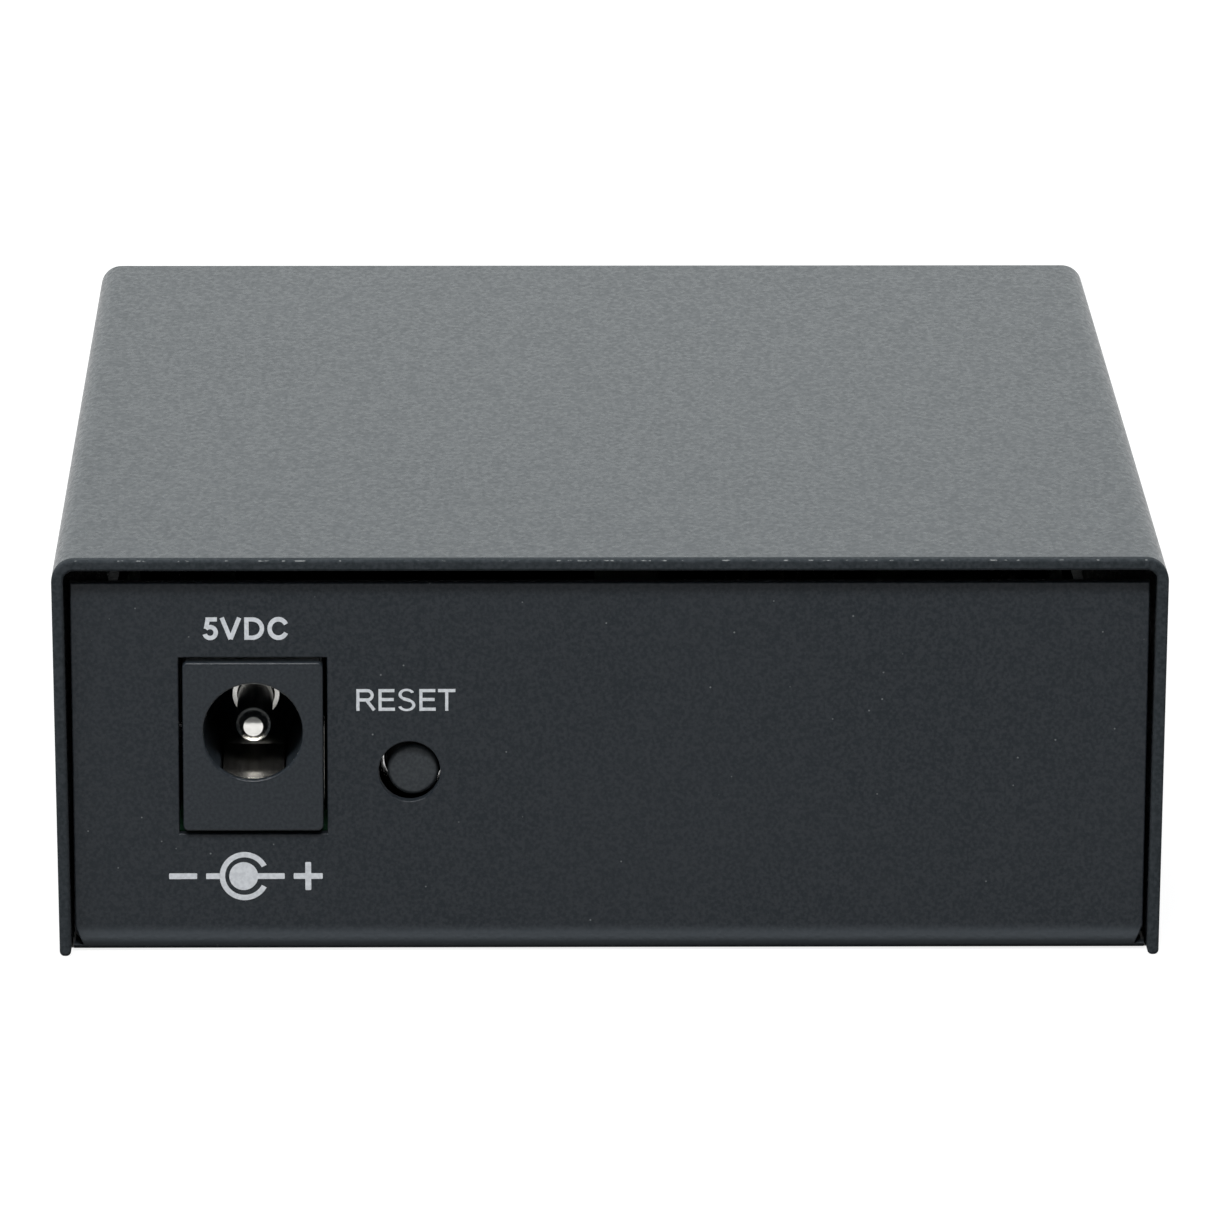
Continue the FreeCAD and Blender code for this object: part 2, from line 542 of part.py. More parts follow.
# the holes
corners = [(x, y) for x in ("-board_half + hole_inset", "board_half - hole_inset")
           for y in ("-standoff_pitch/2", "standoff_pitch/2")]
pocket(tray, "YZ_Plane", [(y, "cover_screw_height", "thread_radius + thread_gap") for y in screw_rows],
       "-tray_half - 1", "tray_half + 1")
pocket(tray, "XY_Plane", [(x, y, "standoff_foot + fit_gap") for x, y in corners], "-1", "sheet + 1")

jack_left, jack_right = "jack_side - jack_width/2", "jack_side + jack_width/2"
pocket(tray, "XZ_Plane", [
    rect(f"{jack_left} - jack_gap", f"{jack_right} + jack_gap",
         "board_top - jack_gap", "board_top + jack_height + jack_gap"),
    ("reset_side - reset_hole_shift", "reset_centre", "reset_hole"),
], "-cover_length/2 - 1", "-panel_back + 1")

lamp_spots = [(f"lamp_side + ({column})*lamp_column", f"board_top + lamp_low + {level}*lamp_row")
              for column in (-0.5, 0.5) for level in range(3)]
pocket(tray, "XZ_Plane", [
    rect("copper_side - copper_width/2 - port_gap", "copper_side + copper_width/2 + port_gap",
         "board_top - port_gap", "board_top + copper_height + port_gap"),
    rect("fibre_side - fibre_width/2 - port_gap", "fibre_side + fibre_width/2 + port_gap",
         "board_top - port_gap", "board_top + fibre_height + port_gap"),
] + [(x, z, "lamp_radius + lamp_gap") for x, z in lamp_spots], "panel_back - 1", "cover_length/2 + 1")
fillet(tray, "hole_round", {"y": "-panel_face"}, {"y": "panel_face"}, but={"z": "tray_bend"})

# ---- screws and standoffs -------------------------------------------------------------------------

cover_screw = body("cover_screw")
turn(cover_screw, "XY_Plane", [
    ("0", "0"), ("0", "thread_radius + countersink"), ("-countersink", "thread_radius"),
    ("-cover_screw_length + screw_point", "thread_radius"),
    ("-cover_screw_length", "thread_radius - screw_point"),
    ("-cover_screw_length", "0")], "H_Axis")
cross(cover_screw, "YZ_Plane", "-recess_depth", "1")
cover_screws = repeat("cover_screws", cover_screw, [
    (f"{sign}*({skin} - head_sink)", y, "cover_screw_height", degrees)
    for sign, degrees in ((1, 0), (-1, 180)) for y in screw_rows])

standoff = body("standoff")
turn(standoff, "XZ_Plane", [("0", "0"), ("standoff_foot", "0"), ("standoff_foot", "sheet + standoff_sink"),
                            ("0", "sheet + standoff_sink")], "V_Axis")
pad(standoff, "XY_Plane", [[(f"standoff_radius*{c}", f"standoff_radius*{s}") for c, s in (
    (1, 0), (0.5, 0.8660254), (-0.5, 0.8660254), (-1, 0), (-0.5, -0.8660254), (0.5, -0.8660254))]],
    "sheet", "board_under")
pocket(standoff, "XY_Plane", [("0", "0", "thread_radius + thread_gap")], "board_under - standoff_bore",
       "board_under")
board_standoffs = repeat("board_standoffs", standoff, [(x, y, "0", 0) for x, y in corners])

board_screw = body("board_screw")
turn(board_screw, "XZ_Plane", [
    ("0", "-board_screw_length"), ("thread_radius - screw_point", "-board_screw_length"),
    ("thread_radius", "-board_screw_length + screw_point"), ("thread_radius", "0"), ("pan_head_radius", "0"),
    ("pan_head_radius", "pan_head_height/2"), ("pan_head_radius*0.8", "pan_head_height*0.86"),
    ("pan_head_radius*0.45", "pan_head_height"), ("0", "pan_head_height")], "V_Axis")
cross(board_screw, "XY_Plane", "pan_head_height - 2*recess_depth", "pan_head_height + 1")
board_screws = repeat("board_screws", board_screw, [(x, y, "board_top", 0) for x, y in corners])

# ---- leads that go through the board, listed once for the leads and for their holes ---------------

module_rear = "(port_front - fibre_depth - module_depth)"
module_leads = [(f"fibre_side + {x}", f"{module_rear} + module_pin_inset")
                for x in row(9, "module_pin_pitch")]
module_studs = [(f"fibre_side + {x}", "port_front - fibre_depth - stud_setback")
                for x in row(2, "stud_spread")]
copper_rear = "(port_front - copper_depth)"
copper_leads = [(f"copper_side + {x}", f"{copper_rear} + port_lead_setback + {i % 2}*port_lead_step")
                for i, x in enumerate(row(8, "wire_pitch"))]
copper_pegs = [(f"copper_side + {x}", f"{copper_rear} + peg_setback") for x in row(2, "peg_spread")]
switch_leads = [(f"reset_side + {x}", "switch_front + switch_depth - switch_pin_setback")
                for x in row(2, "switch_pin_pitch")]
lamp_leads = [(f"lamp_side + ({column})*lamp_column",
               f"panel_back - holder_setback - lamp_lead_setback - {i}*lamp_lead_step")
              for column in (-0.5, 0.5) for i in range(3)]
bracket_half = "(switch_size/2 + bracket_sheet)"
jack_rear = "(jack_front + jack_depth)"
leaf_root = "(jack_front + jack_bore_depth - leaf_blade_inset)"
side_blade = "(jack_front + collar_depth + side_blade_setback)"

board = body("circuit_board")
pad(board, "XY_Plane", [rect("-board_half", "board_half", "-board_end", "board_end")],
    "board_under", "board_top")
pocket(board, "XY_Plane", [(x, y, "thread_radius + pass_gap") for x, y in corners]
       + [(x, y, "lead_radius + pin_gap") for x, y in module_leads + copper_leads + lamp_leads]
       + [(x, y, "stud_radius + pin_gap") for x, y in module_studs]
       + [(x, y, "peg_radius + pin_gap") for x, y in copper_pegs]
       + [(x, y, "switch_pin + pin_gap") for x, y in switch_leads]
       + [rect("jack_side - blade_width/2 - pin_gap", "jack_side + blade_width/2 + pin_gap",
               f"{y} - pin_gap", f"{y} + blade_thickness + pin_gap")
          for y in (jack_rear, leaf_root)]
       + [rect(f"{jack_right} - blade_thickness - pin_gap", f"{jack_right} + pin_gap",
               f"{side_blade} - blade_width/2 - pin_gap", f"{side_blade} + blade_width/2 + pin_gap")]
       + [rect(f"reset_side + {a} - pin_gap", f"reset_side + {b} + pin_gap",
               "switch_front + bracket_leg_setback - pin_gap",
               "switch_front + bracket_leg_setback + bracket_leg + pin_gap")
          for a, b in ((f"-{bracket_half}", "-switch_size/2"), ("switch_size/2", bracket_half))],
       "board_under - 1", "board_top + 1")

# ---- power jack -----------------------------------------------------------------------------------

jack = body("power_jack_housing")
pad(jack, "XZ_Plane", [rect(jack_left, jack_right, "board_top", "board_top + jack_height")],
    "jack_front", "jack_front + collar_depth")
fillet(jack, "jack_corner", *({"x": x, "z": z} for x in (jack_left, jack_right)
                              for z in ("board_top", "board_top + jack_height")))
barrel = [("jack_side", "jack_centre", "jack_barrel")]
pad(jack, "XZ_Plane", barrel, "jack_front + collar_depth/2", jack_rear)
pad(jack, "XZ_Plane", [rect("jack_side - jack_barrel", "jack_side + jack_barrel",
                            "board_top", "jack_centre")], "jack_front + collar_depth/2", jack_rear)
bore_end = "(jack_front + jack_bore_depth)"
pocket(jack, "XZ_Plane", [("jack_side", "jack_centre", "jack_bore")], "jack_front", bore_end)
leaf_way = "(leaf_width/2 + leaf_clear)"
pocket(jack, "XZ_Plane", [rect(f"jack_side - {leaf_way}", f"jack_side + {leaf_way}",
                               "jack_centre - leaf_slot", "jack_centre - jack_bore/2")],
       "jack_front + leaf_front - leaf_clear", bore_end)
fillet(jack, "jack_mouth", {"y": "jack_front"})
pocket(jack, "XZ_Plane", [("jack_side", "jack_centre", "centre_pin_root + fit_gap")],
       "jack_front", f"{jack_rear} + 1")
blade_way = "(blade_width/2 + fit_gap)"
pocket(jack, "XY_Plane", [rect(f"jack_side - {blade_way}", f"jack_side + {blade_way}",
                               f"{leaf_root} - fit_gap", f"{leaf_root} + blade_thickness + fit_gap")],
       "board_top - 1", "jack_centre - jack_bore/2")
pocket(jack, "YZ_Plane", [rect(f"{side_blade} - {blade_way}", f"{side_blade} + {blade_way}",
                               "board_top - 1", "jack_centre - side_blade_drop")],
       "jack_side + jack_barrel - side_blade_seat", f"{jack_right} + 1")

pin = body("power_jack_centre_pin")
root = "(jack_bore_depth - centre_pin_recess)"
turn(pin, "XY_Plane", [("0", "0"), ("centre_pin - centre_pin_tip", "0"), ("centre_pin", "centre_pin_tip"),
                       ("centre_pin", root), ("centre_pin_root - root_rim", f"{root} + root_groove"),
                       ("centre_pin_root - root_rim", root), ("centre_pin_root", root),
                       ("centre_pin_root", "jack_depth - centre_pin_recess + blade_thickness/2"),
                       ("0", "jack_depth - centre_pin_recess + blade_thickness/2")], "V_Axis")
fillet(pin, "centre_pin_tip*0.8", {"y": "0"})
fillet(pin, "centre_pin_tip/4", {"y": "centre_pin_tip"})
tip = "(jack_front + centre_pin_recess)"
pad(pin, "XZ_Plane", [rect("-blade_width/2", "blade_width/2",
                           "tail_end - jack_centre", "centre_pin + pin_blade_rise")],
    "jack_depth - centre_pin_recess", "jack_depth - centre_pin_recess + blade_thickness")
bind(pin, Base_x="jack_side", Base_y=tip, Base_z="jack_centre")

leaf = body("power_jack_sleeve_spring")
crest = "(jack_centre - leaf_rise)"
lip = f"({crest} - leaf_drop)"
heel = f"({crest} - leaf_drop/2)"
pad(leaf, "YZ_Plane", [[
    ("jack_front + leaf_front", f"{lip} - leaf_tuck"),
    ("jack_front + leaf_front", f"{lip} - leaf_tuck - leaf_thickness"),
    ("jack_front + leaf_bend", f"{lip} - leaf_thickness"),
    ("jack_front + leaf_crest", f"{crest} - leaf_thickness"),
    (leaf_root, f"{heel} - leaf_thickness"), (f"{leaf_root} + blade_thickness", f"{heel} - leaf_thickness"),
    (f"{leaf_root} + blade_thickness", heel), ("jack_front + leaf_crest", crest),
    ("jack_front + leaf_bend", lip)]], "jack_side - leaf_width/2", "jack_side + leaf_width/2")
fillet(leaf, "leaf_curl", {"y": "jack_front + leaf_bend", "z": lip})
pad(leaf, "YZ_Plane", [rect(leaf_root, f"{leaf_root} + blade_thickness",
                            "tail_end", f"{heel} - leaf_thickness/2")],
    "jack_side - blade_width/2", "jack_side + blade_width/2")

side_contact = block("power_jack_switch_contact",
                     ("jack_side + jack_barrel - side_blade_seat + fit_gap", jack_right),
                     (f"{side_blade} - blade_width/2", f"{side_blade} + blade_width/2"),
                     ("tail_end", "jack_centre - side_blade_drop - fit_gap"))

# ---- reset switch ---------------------------------------------------------------------------------

switch = body("reset_switch_body")
pad(switch, "XZ_Plane", [rect("reset_side - switch_size/2", "reset_side + switch_size/2",
                              "reset_centre - switch_size/2", "reset_centre + switch_size/2")],
    "switch_front", "switch_front + switch_depth")
chamfer(switch, "switch_edge",
        *({"x": f"reset_side {a} switch_size/2", "z": f"reset_centre {b} switch_size/2"}
          for a in "+-" for b in "+-"))
pocket(switch, "XZ_Plane", [("reset_side", "reset_centre", "button_radius + button_gap")],
       "switch_front", "switch_front + switch_wall + 0.1")
pocket(switch, "XZ_Plane", [("reset_side", "reset_centre", "flange_radius + flange_gap")],
       "switch_front + switch_wall", "switch_front + switch_depth - switch_wall")

button = body("reset_button")
stem_end = "(panel_face - button_recess + switch_front + switch_wall + 0.05)"
nose_end = f"({stem_end} + switch_depth - 2*switch_wall - dome_height - press_travel - 0.1)"
collar_end = f"({stem_end} + flange_thickness)"
turn(button, "XY_Plane", [
    ("0", "0"), ("button_radius", "0"), ("button_radius", stem_end), ("flange_radius", stem_end),
    ("flange_radius", collar_end), ("button_radius/2", collar_end), ("button_radius/2", nose_end),
    ("0", nose_end)], "V_Axis")
fillet(button, "button_round", {"y": "0"})
bind(button, Base_x="reset_side", Base_y="-panel_face + button_recess", Base_z="reset_centre")

dome = body("reset_switch_dome")
turn(dome, "XY_Plane", [
    ("0", "-dome_height"), ("flange_radius*0.4", "-dome_height"), ("flange_radius*0.8", "-dome_metal"),
    ("flange_radius", "-dome_metal"), ("flange_radius", "0"), ("flange_radius*0.8", "0"),
    ("flange_radius*0.4", "-dome_height + dome_metal"), ("0", "-dome_height + dome_metal")], "V_Axis")
bind(dome, Base_x="reset_side", Base_y="switch_front + switch_depth - switch_wall", Base_z="reset_centre")

bracket = body("reset_switch_bracket")
pad(bracket, "XY_Plane", [[
    (f"-{bracket_half}", "-bracket_sheet"), (bracket_half, "-bracket_sheet"),
    (bracket_half, "bracket_arm"), ("switch_size/2", "bracket_arm"), ("switch_size/2", "0"),
    ("-switch_size/2", "0"), ("-switch_size/2", "bracket_arm"), (f"-{bracket_half}", "bracket_arm")]],
    "-reset_axis", "switch_size/2")
fillet(bracket, "bracket_sheet", {"x": bracket_half, "y": "-bracket_sheet"},
       {"x": f"-{bracket_half}", "y": "-bracket_sheet"})
pocket(bracket, "XZ_Plane", [("0", "0", "button_radius + bracket_gap")], "-2*bracket_sheet", "bracket_sheet")
fillet(bracket, "bracket_sheet/2", {"y": "-bracket_sheet",
                                    "x": ("-button_radius - bracket_gap", "button_radius + bracket_gap")})
pad(bracket, "XY_Plane", [rect(*across, "bracket_leg_setback", "bracket_leg_setback + bracket_leg")
                          for across in ((f"-{bracket_half}", "-switch_size/2"),
                                         ("switch_size/2", bracket_half))],
    "tail_end - reset_centre", "-reset_axis")
bind(bracket, Base_x="reset_side", Base_y="switch_front", Base_z="reset_centre")

switch_pins = group("reset_switch_pins", [
    rod("switch_lead", "switch_pin", x, y, "tail_end", "reset_centre - switch_size/2")
    for x, y in switch_leads])

# ---- copper port: folded shield, moulded insert, eight spring contacts ----------------------------

copper_top = "(board_top + copper_height)"
plug_low = "(board_top + plug_floor)"
shield = body("copper_port_shield")
pad(shield, "XZ_Plane", [rect("copper_side - copper_width/2", "copper_side + copper_width/2",
                              "board_top", copper_top)], copper_rear, "port_front")
fillet(shield, "2*shield_sheet", *({"x": f"copper_side {a} copper_width/2", "z": copper_top} for a in "+-"))
pocket(shield, "XZ_Plane", [rect("copper_side - copper_width/2 + shield_sheet",
                                 "copper_side + copper_width/2 - shield_sheet",
                                 "board_top - 1", f"{copper_top} - shield_sheet")],
       f"{copper_rear} + shield_sheet", "port_front - shield_sheet")
lip_way = "(plug_width/2 + lip_side)"
pocket(shield, "XZ_Plane", [rect(f"copper_side - {lip_way}", f"copper_side + {lip_way}",
                                 f"{plug_low} - tab_drop - tab_tip_drop - lip_low",
                                 f"{plug_low} + plug_height + lip_side")],
       "port_front - 2*shield_sheet", "port_front + 1")

insert = body("copper_port_insert")
inner = "(shield_sheet + fit_gap)"
insert_half = f"(copper_width/2 - {inner})"
pad(insert, "XZ_Plane", [rect(f"copper_side - {insert_half}", f"copper_side + {insert_half}",
                              "board_top", f"{copper_top} - {inner}")],
    f"{copper_rear} + {inner}", f"port_front - {inner}")
tab_low = f"{plug_low} - tab_drop"
pocket(insert, "XZ_Plane", [[
    ("copper_side - plug_width/2", plug_low), ("copper_side - tab_width/2", plug_low),
    ("copper_side - tab_width/2", tab_low), ("copper_side - tab_tip_width/2", tab_low),
    ("copper_side - tab_tip_width/2", f"{tab_low} - tab_tip_drop"),
    ("copper_side + tab_tip_width/2", f"{tab_low} - tab_tip_drop"),
    ("copper_side + tab_tip_width/2", tab_low),
    ("copper_side + tab_width/2", tab_low), ("copper_side + tab_width/2", plug_low),
    ("copper_side + plug_width/2", plug_low), ("copper_side + plug_width/2", f"{plug_low} + plug_height"),
    ("copper_side - plug_width/2", f"{plug_low} + plug_height")]], "port_front - plug_depth", "port_front")

contact = body("contact")
roof = f"{plug_low} + plug_height"
pad(contact, "YZ_Plane", [[
    ("port_front - plug_depth", roof), ("port_front - plug_depth", f"{roof} - wire"),
    ("port_front - wire_fold - wire_turn", f"{roof} - wire"),
    ("port_front - wire_end", f"{roof} - wire_fall"),
    ("port_front - wire_end + wire", f"{roof} - wire_fall - wire"),
    ("port_front - wire_fold", f"{roof} - wire"),
    ("port_front - wire_fold", roof)]], "-wire/2", "wire/2")
copper_contacts = repeat("copper_port_contacts", contact, [(f"copper_side + {x}", "0", "0", 0)
                                                            for x in row(8, "wire_pitch")])
copper_pins = group("copper_port_pins", [
    rod("copper_lead", "lead_radius", x, y, "tail_end", "board_top") for x, y in copper_leads] + [
    rod("copper_peg", "peg_radius", x, y, "board_under", "board_top") for x, y in copper_pegs])

# ---- fibre port: moulded duplex housing, ferrule sleeves and latch arms ---------------------------

wells = [f"(fibre_side + {x})" for x in row(2, "fibre_pitch")]
well_end = "(port_front - well_depth)"
fibre = body("fibre_port_housing")
pad(fibre, "XZ_Plane", [rect("fibre_side - fibre_width/2", "fibre_side + fibre_width/2",
                             "board_top", "board_top + fibre_height")],
    "port_front - fibre_depth", "port_front")
fillet(fibre, "fibre_round", *({"x": f"fibre_side {a} fibre_width/2", "z": z} for a in "+-"
                       for z in ("board_top", "board_top + fibre_height")))
pocket(fibre, "XZ_Plane", [rect(f"{x} - well_width/2", f"{x} + well_width/2", "well_middle - well_height/2",
                                "well_middle + well_height/2") for x in wells], well_end, "port_front")
pocket(fibre, "XZ_Plane", [rect(f"{x} - key_width/2", f"{x} + key_width/2", "well_middle",
                                "well_middle + well_height/2 + key_height") for x in wells],
       "port_front - key_depth", "port_front")
chamfer(fibre, "well_edge", *({"y": "port_front", "z": f"well_middle {a} well_height/2"} for a in "+-"),
        *({"y": "port_front", "x": f"{x} {a} well_width/2"} for a in "+-" for x in wells))
pocket(fibre, "XZ_Plane", [(x, "well_middle", "sleeve_outer + fit_gap") for x in wells],
       f"{well_end} - sleeve_root", f"{well_end} + 1")

sleeve = body("sleeve")
turn(sleeve, "XY_Plane", [("sleeve_bore", "-sleeve_root"), ("sleeve_outer", "-sleeve_root"),
                          ("sleeve_outer", "sleeve_length - sleeve_edge"),
                          ("sleeve_outer - sleeve_edge", "sleeve_length"),
                          ("sleeve_bore + sleeve_lead_in", "sleeve_length"),
                          ("sleeve_bore", "sleeve_length - sleeve_lead_in")],
     "V_Axis")
sleeves = repeat("fibre_port_sleeves", sleeve, [(x, well_end, "well_middle", 0) for x in wells])

clip = body("clip")
arm = "(sleeve_outer + latch_hook + latch_gap)"
outer_arm = f"({arm} + latch_thickness)"
pad(clip, "XY_Plane", [[
    (f"-{outer_arm}", "0"), (outer_arm, "0"), (outer_arm, "latch_reach"),
    (f"{arm} - latch_hook/2", "latch_reach"), (f"{arm} - latch_hook", "latch_reach - hook_flat"),
    (f"{arm} - latch_hook", "latch_reach - 2*hook_flat"), (arm, "latch_reach - hook_length"),
    (arm, "latch_thickness"), (f"-{arm}", "latch_thickness"), (f"-{arm}", "latch_reach - hook_length"),
    (f"-{arm} + latch_hook", "latch_reach - 2*hook_flat"),
    (f"-{arm} + latch_hook", "latch_reach - hook_flat"),
    (f"-{arm} + latch_hook/2", "latch_reach"), (f"-{outer_arm}", "latch_reach")]],
    "-latch_height/2", "latch_height/2")
pad(clip, "XZ_Plane", [rect("-well_width/2 + clip_gap", "well_width/2 - clip_gap",
                            "-well_height/2 + clip_gap", "well_height/2 - clip_gap")], "0", "latch_thickness")
pocket(clip, "XZ_Plane", [("0", "0", "sleeve_outer + fit_gap")], "-1", "latch_thickness + 1")
clips = repeat("fibre_port_clips", clip, [(x, well_end, "well_middle", 0) for x in wells])

optical = body("optical_module_case")
module_x = ("fibre_side - fibre_width/2", "fibre_side + fibre_width/2")
pad(optical, "XY_Plane", [rect(*module_x, module_rear, "port_front - fibre_depth")],
    "board_top", "board_top + module_height - module_lid")
optical_top = "(board_top + module_height - module_lid)"
chamfer(optical, "module_edge", *({"x": x, "z": optical_top} for x in module_x),
        {"y": module_rear, "z": optical_top})
module_lid = body("optical_module_lid")
lid_half = "(fibre_width/2 - module_edge)"
pad(module_lid, "XY_Plane", [rect(f"fibre_side - {lid_half}", f"fibre_side + {lid_half}",
                                  f"{module_rear} + module_edge", "port_front - fibre_depth")],
    optical_top, f"{optical_top} + module_lid")
module_pins = group("optical_module_pins", [
    rod("module_lead", "lead_radius", x, y, "tail_end", "board_top") for x, y in module_leads] + [
    rod("module_stud", "stud_radius", x, y, "tail_end", "board_top") for x, y in module_studs])

# ---- status lamps: two columns of three in one holder ---------------------------------------------

holder_front = "(panel_back - holder_setback)"
holder_half = "(lamp_column/2 + lamp_radius + holder_wall)"
holder = body("lamp_holder")
pad(holder, "XZ_Plane", [rect(f"lamp_side - {holder_half}", f"lamp_side + {holder_half}", "board_top",
                              "board_top + lamp_low + 2*lamp_row + lamp_radius + holder_wall")],
    f"{holder_front} - holder_depth", holder_front)
pocket(holder, "XZ_Plane", [(x, z, "lamp_radius + fit_gap") for x, z in lamp_spots],
       f"{holder_front} - lamp_base", holder_front)

lamp = body("lamp")
turn(lamp, "XY_Plane", [("0", "-holder_setback - lamp_base"), ("lamp_radius", "-holder_setback - lamp_base"),
                        ("lamp_radius", "sheet + lamp_proud - 0.7*lamp_radius"),
                        ("lamp_radius*0.9", "sheet + lamp_proud - 0.35*lamp_radius"),
                        ("lamp_radius*0.6", "sheet + lamp_proud - 0.1*lamp_radius"),
                        ("0", "sheet + lamp_proud")], "V_Axis")
lamps = repeat("status_lamps", lamp, [(x, "panel_back", z, 0) for x, z in lamp_spots])
lamp_legs = group("lamp_leads", [rod("lamp_lead", "lead_radius", x, y, "tail_end", "board_top")
                                 for x, y in lamp_leads])

# ---- parts soldered flat on the board -------------------------------------------------------------

def on_board(label, length, width, height, x, y, rise="0", edge=None):
    """A moulded part that lies on the board with its middle at x, y."""
    made = body(label)
    pad(made, "XY_Plane", [rect(f"-{length}/2", f"{length}/2", f"-{width}/2", f"{width}/2")], "0", height)
    if edge:
        chamfer(made, edge, *({"x": f"{a}{length}/2", "z": height} for a in ("-", "")),
                *({"y": f"{a}{width}/2", "z": height} for a in ("-", "")))
    bind(made, Base_x=x, Base_y=y, Base_z=f"board_top + {rise}")
    return made


def gull_wing(label, width, rise):
    """A lead that leaves a chip along -Y at height rise, and steps down to the board."""
    made = body(label)
    pad(made, "YZ_Plane", [[
        ("0", rise), ("0", f"{rise} - lead_metal"), ("-reach + lead_metal", f"{rise} - lead_metal"),
        ("-reach + lead_metal", "lead_metal"), ("-reach + lead_metal", "0"), ("-reach - foot", "0"),
        ("-reach - foot", "lead_metal"), ("-reach", "lead_metal"), ("-reach", rise)]],
        f"-{width}/2", f"{width}/2")
    return made


transformer_x, transformer_y = "copper_side", f"({copper_rear} - transformer_setback)"
transformer = on_board("line_transformer", "transformer_length", "transformer_width", "transformer_height",
                       transformer_x, transformer_y, "chip_rise", "transformer_edge")
transformer_gull = gull_wing("transformer_gull", "transformer_lead", "transformer_height/2")
transformer_leads = repeat("line_transformer_leads", transformer_gull, [
    (f"{transformer_x} + {x}", f"{transformer_y} {sign} transformer_width/2", "board_top", degrees)
    for sign, degrees in (("-", 0), ("+", 180)) for x in row(8, "transformer_pitch")])

chip_x, chip_y = "(copper_side - chip_shift)", f"({transformer_y} - chip_setback)"
chip = on_board("converter_chip", "chip_side", "chip_side", "chip_height", chip_x, chip_y, "chip_rise",
                "chip_edge")
chip_gull = gull_wing("chip_gull", "chip_lead", "chip_height/2")
chip_leads = repeat("converter_chip_leads", chip_gull, [
    (f"{chip_x} {across}", f"{chip_y} {along}", "board_top", degrees)
    for offset in row(16, "chip_pitch")
    for across, along, degrees in ((f"+ {offset}", "- chip_side/2", 0), (f"+ {offset}", "+ chip_side/2", 180),
                                   ("+ chip_side/2", f"+ {offset}", 90),
                                   ("- chip_side/2", f"+ {offset}", -90))])

memory_x, memory_y = "(board_half - edge_inset)", f"({chip_y} + chip_side/2)"
memory = on_board("memory_chip", "memory_length", "memory_width", "memory_height", memory_x, memory_y,
                  "chip_rise", "chip_edge")
memory_gull = gull_wing("memory_gull", "memory_lead", "memory_height/2")
memory_leads = repeat("memory_chip_leads", memory_gull, [
    (f"{memory_x} + {x}", f"{memory_y} {sign} memory_width/2", "board_top", degrees)
    for sign, degrees in (("-", 0), ("+", 180)) for x in row(4, "transformer_pitch")])

crystal = on_board("crystal_can", "crystal_length", "crystal_width", "crystal_height",
                   memory_x, f"{chip_y} - chip_side/2")
fillet(crystal, "crystal_width/2 - fit_gap", *({"x": f"{a}crystal_length/2", "y": f"{b}crystal_width/2"}
                                            for a in ("-", "") for b in ("-", "")))

# the power parts, in line with the jack and with the reset switch
inductor_x, inductor_y = "(-board_half + edge_inset)", f"({jack_rear} + inductor_setback)"
inductor = on_board("power_inductor", "inductor_side", "inductor_side", "inductor_height",
                    inductor_x, inductor_y, "0", "inductor_edge")
regulator = on_board("voltage_regulator", "regulator_length", "regulator_width", "regulator_height",
                     "reset_side", inductor_y, "0", "regulator_edge")
regulator_gull = gull_wing("regulator_gull", "regulator_leg", "regulator_height/2")
regulator_heel = gull_wing("regulator_heel", "regulator_tab", "regulator_height/2")
regulator_leads = group("voltage_regulator_leads", [
    *repeat("regulator_legs", regulator_gull, [
        (f"reset_side + {x}", f"{inductor_y} - regulator_width/2", "board_top", 0)
        for x in row(3, "regulator_pitch")]).Links,
    *repeat("regulator_tabs", regulator_heel, [
        ("reset_side", f"{inductor_y} + regulator_width/2", "board_top", 180)]).Links])

diode_y = f"({jack_rear} + diode_setback)"
cans = group("electrolytic_capacitors", [
    rod("capacitor_can", "can_radius", x, y, "board_top", "board_top + can_height")
    for x, y in ((inductor_x, diode_y), ("reset_side + can_pitch", "-board_end + can_setback"),
                 ("reset_side + 2*can_pitch", "-board_end + can_setback"))])
diode = on_board("power_diode", "diode_length", "diode_width", "diode_height", "reset_side", diode_y,
                 "0", "diode_edge")
fuse = on_board("input_fuse", "fuse_length", "fuse_width", "fuse_height", "reset_side",
                f"{jack_rear} + row_step")


def chip_parts(label, height, spots):
    return group(label, [block(f"{label}_one", (f"{x} - chip_part_length/2", f"{x} + chip_part_length/2"),
                               (f"{y} - chip_part_width/2", f"{y} + chip_part_width/2"),
                               ("board_top", f"board_top + {height}")) for x, y in spots])


front_row, rear_row = f"{chip_y} + chip_side/2 + row_gap", f"{chip_y} - chip_side/2 - row_gap"
left_column, right_column = f"{chip_x} - chip_side/2 - column_gap", f"{chip_x} + chip_side/2 + column_gap"
ceramics = chip_parts("ceramic_capacitors", "ceramic_height", [
    *((f"{chip_x} + part_pitch + {x}", front_row) for x in row(5, "part_pitch")),
    *((f"{chip_x} + {x}", rear_row) for x in row(5, "part_pitch")),
    *((left_column, f"{rear_row} - {i}*row_step") for i in (2, 3, 4)),
    (f"{inductor_x} + inductor_side/2 + column_gap", f"{inductor_y} - 2*row_step")])
resistors = chip_parts("chip_resistors", "resistor_height", [
    *((f"{chip_x} + {x}", f"{rear_row} - row_step") for x in row(6, "part_pitch")),
    *((right_column, f"{chip_y} + {i}*row_step") for i in (0, 1, 2)),
    *((f"{transformer_x} + {x}", f"{transformer_y} + transformer_width/2 + row_gap")
      for x in row(4, "part_pitch"))])

# ---- the pieces that are written out --------------------------------------------------------------

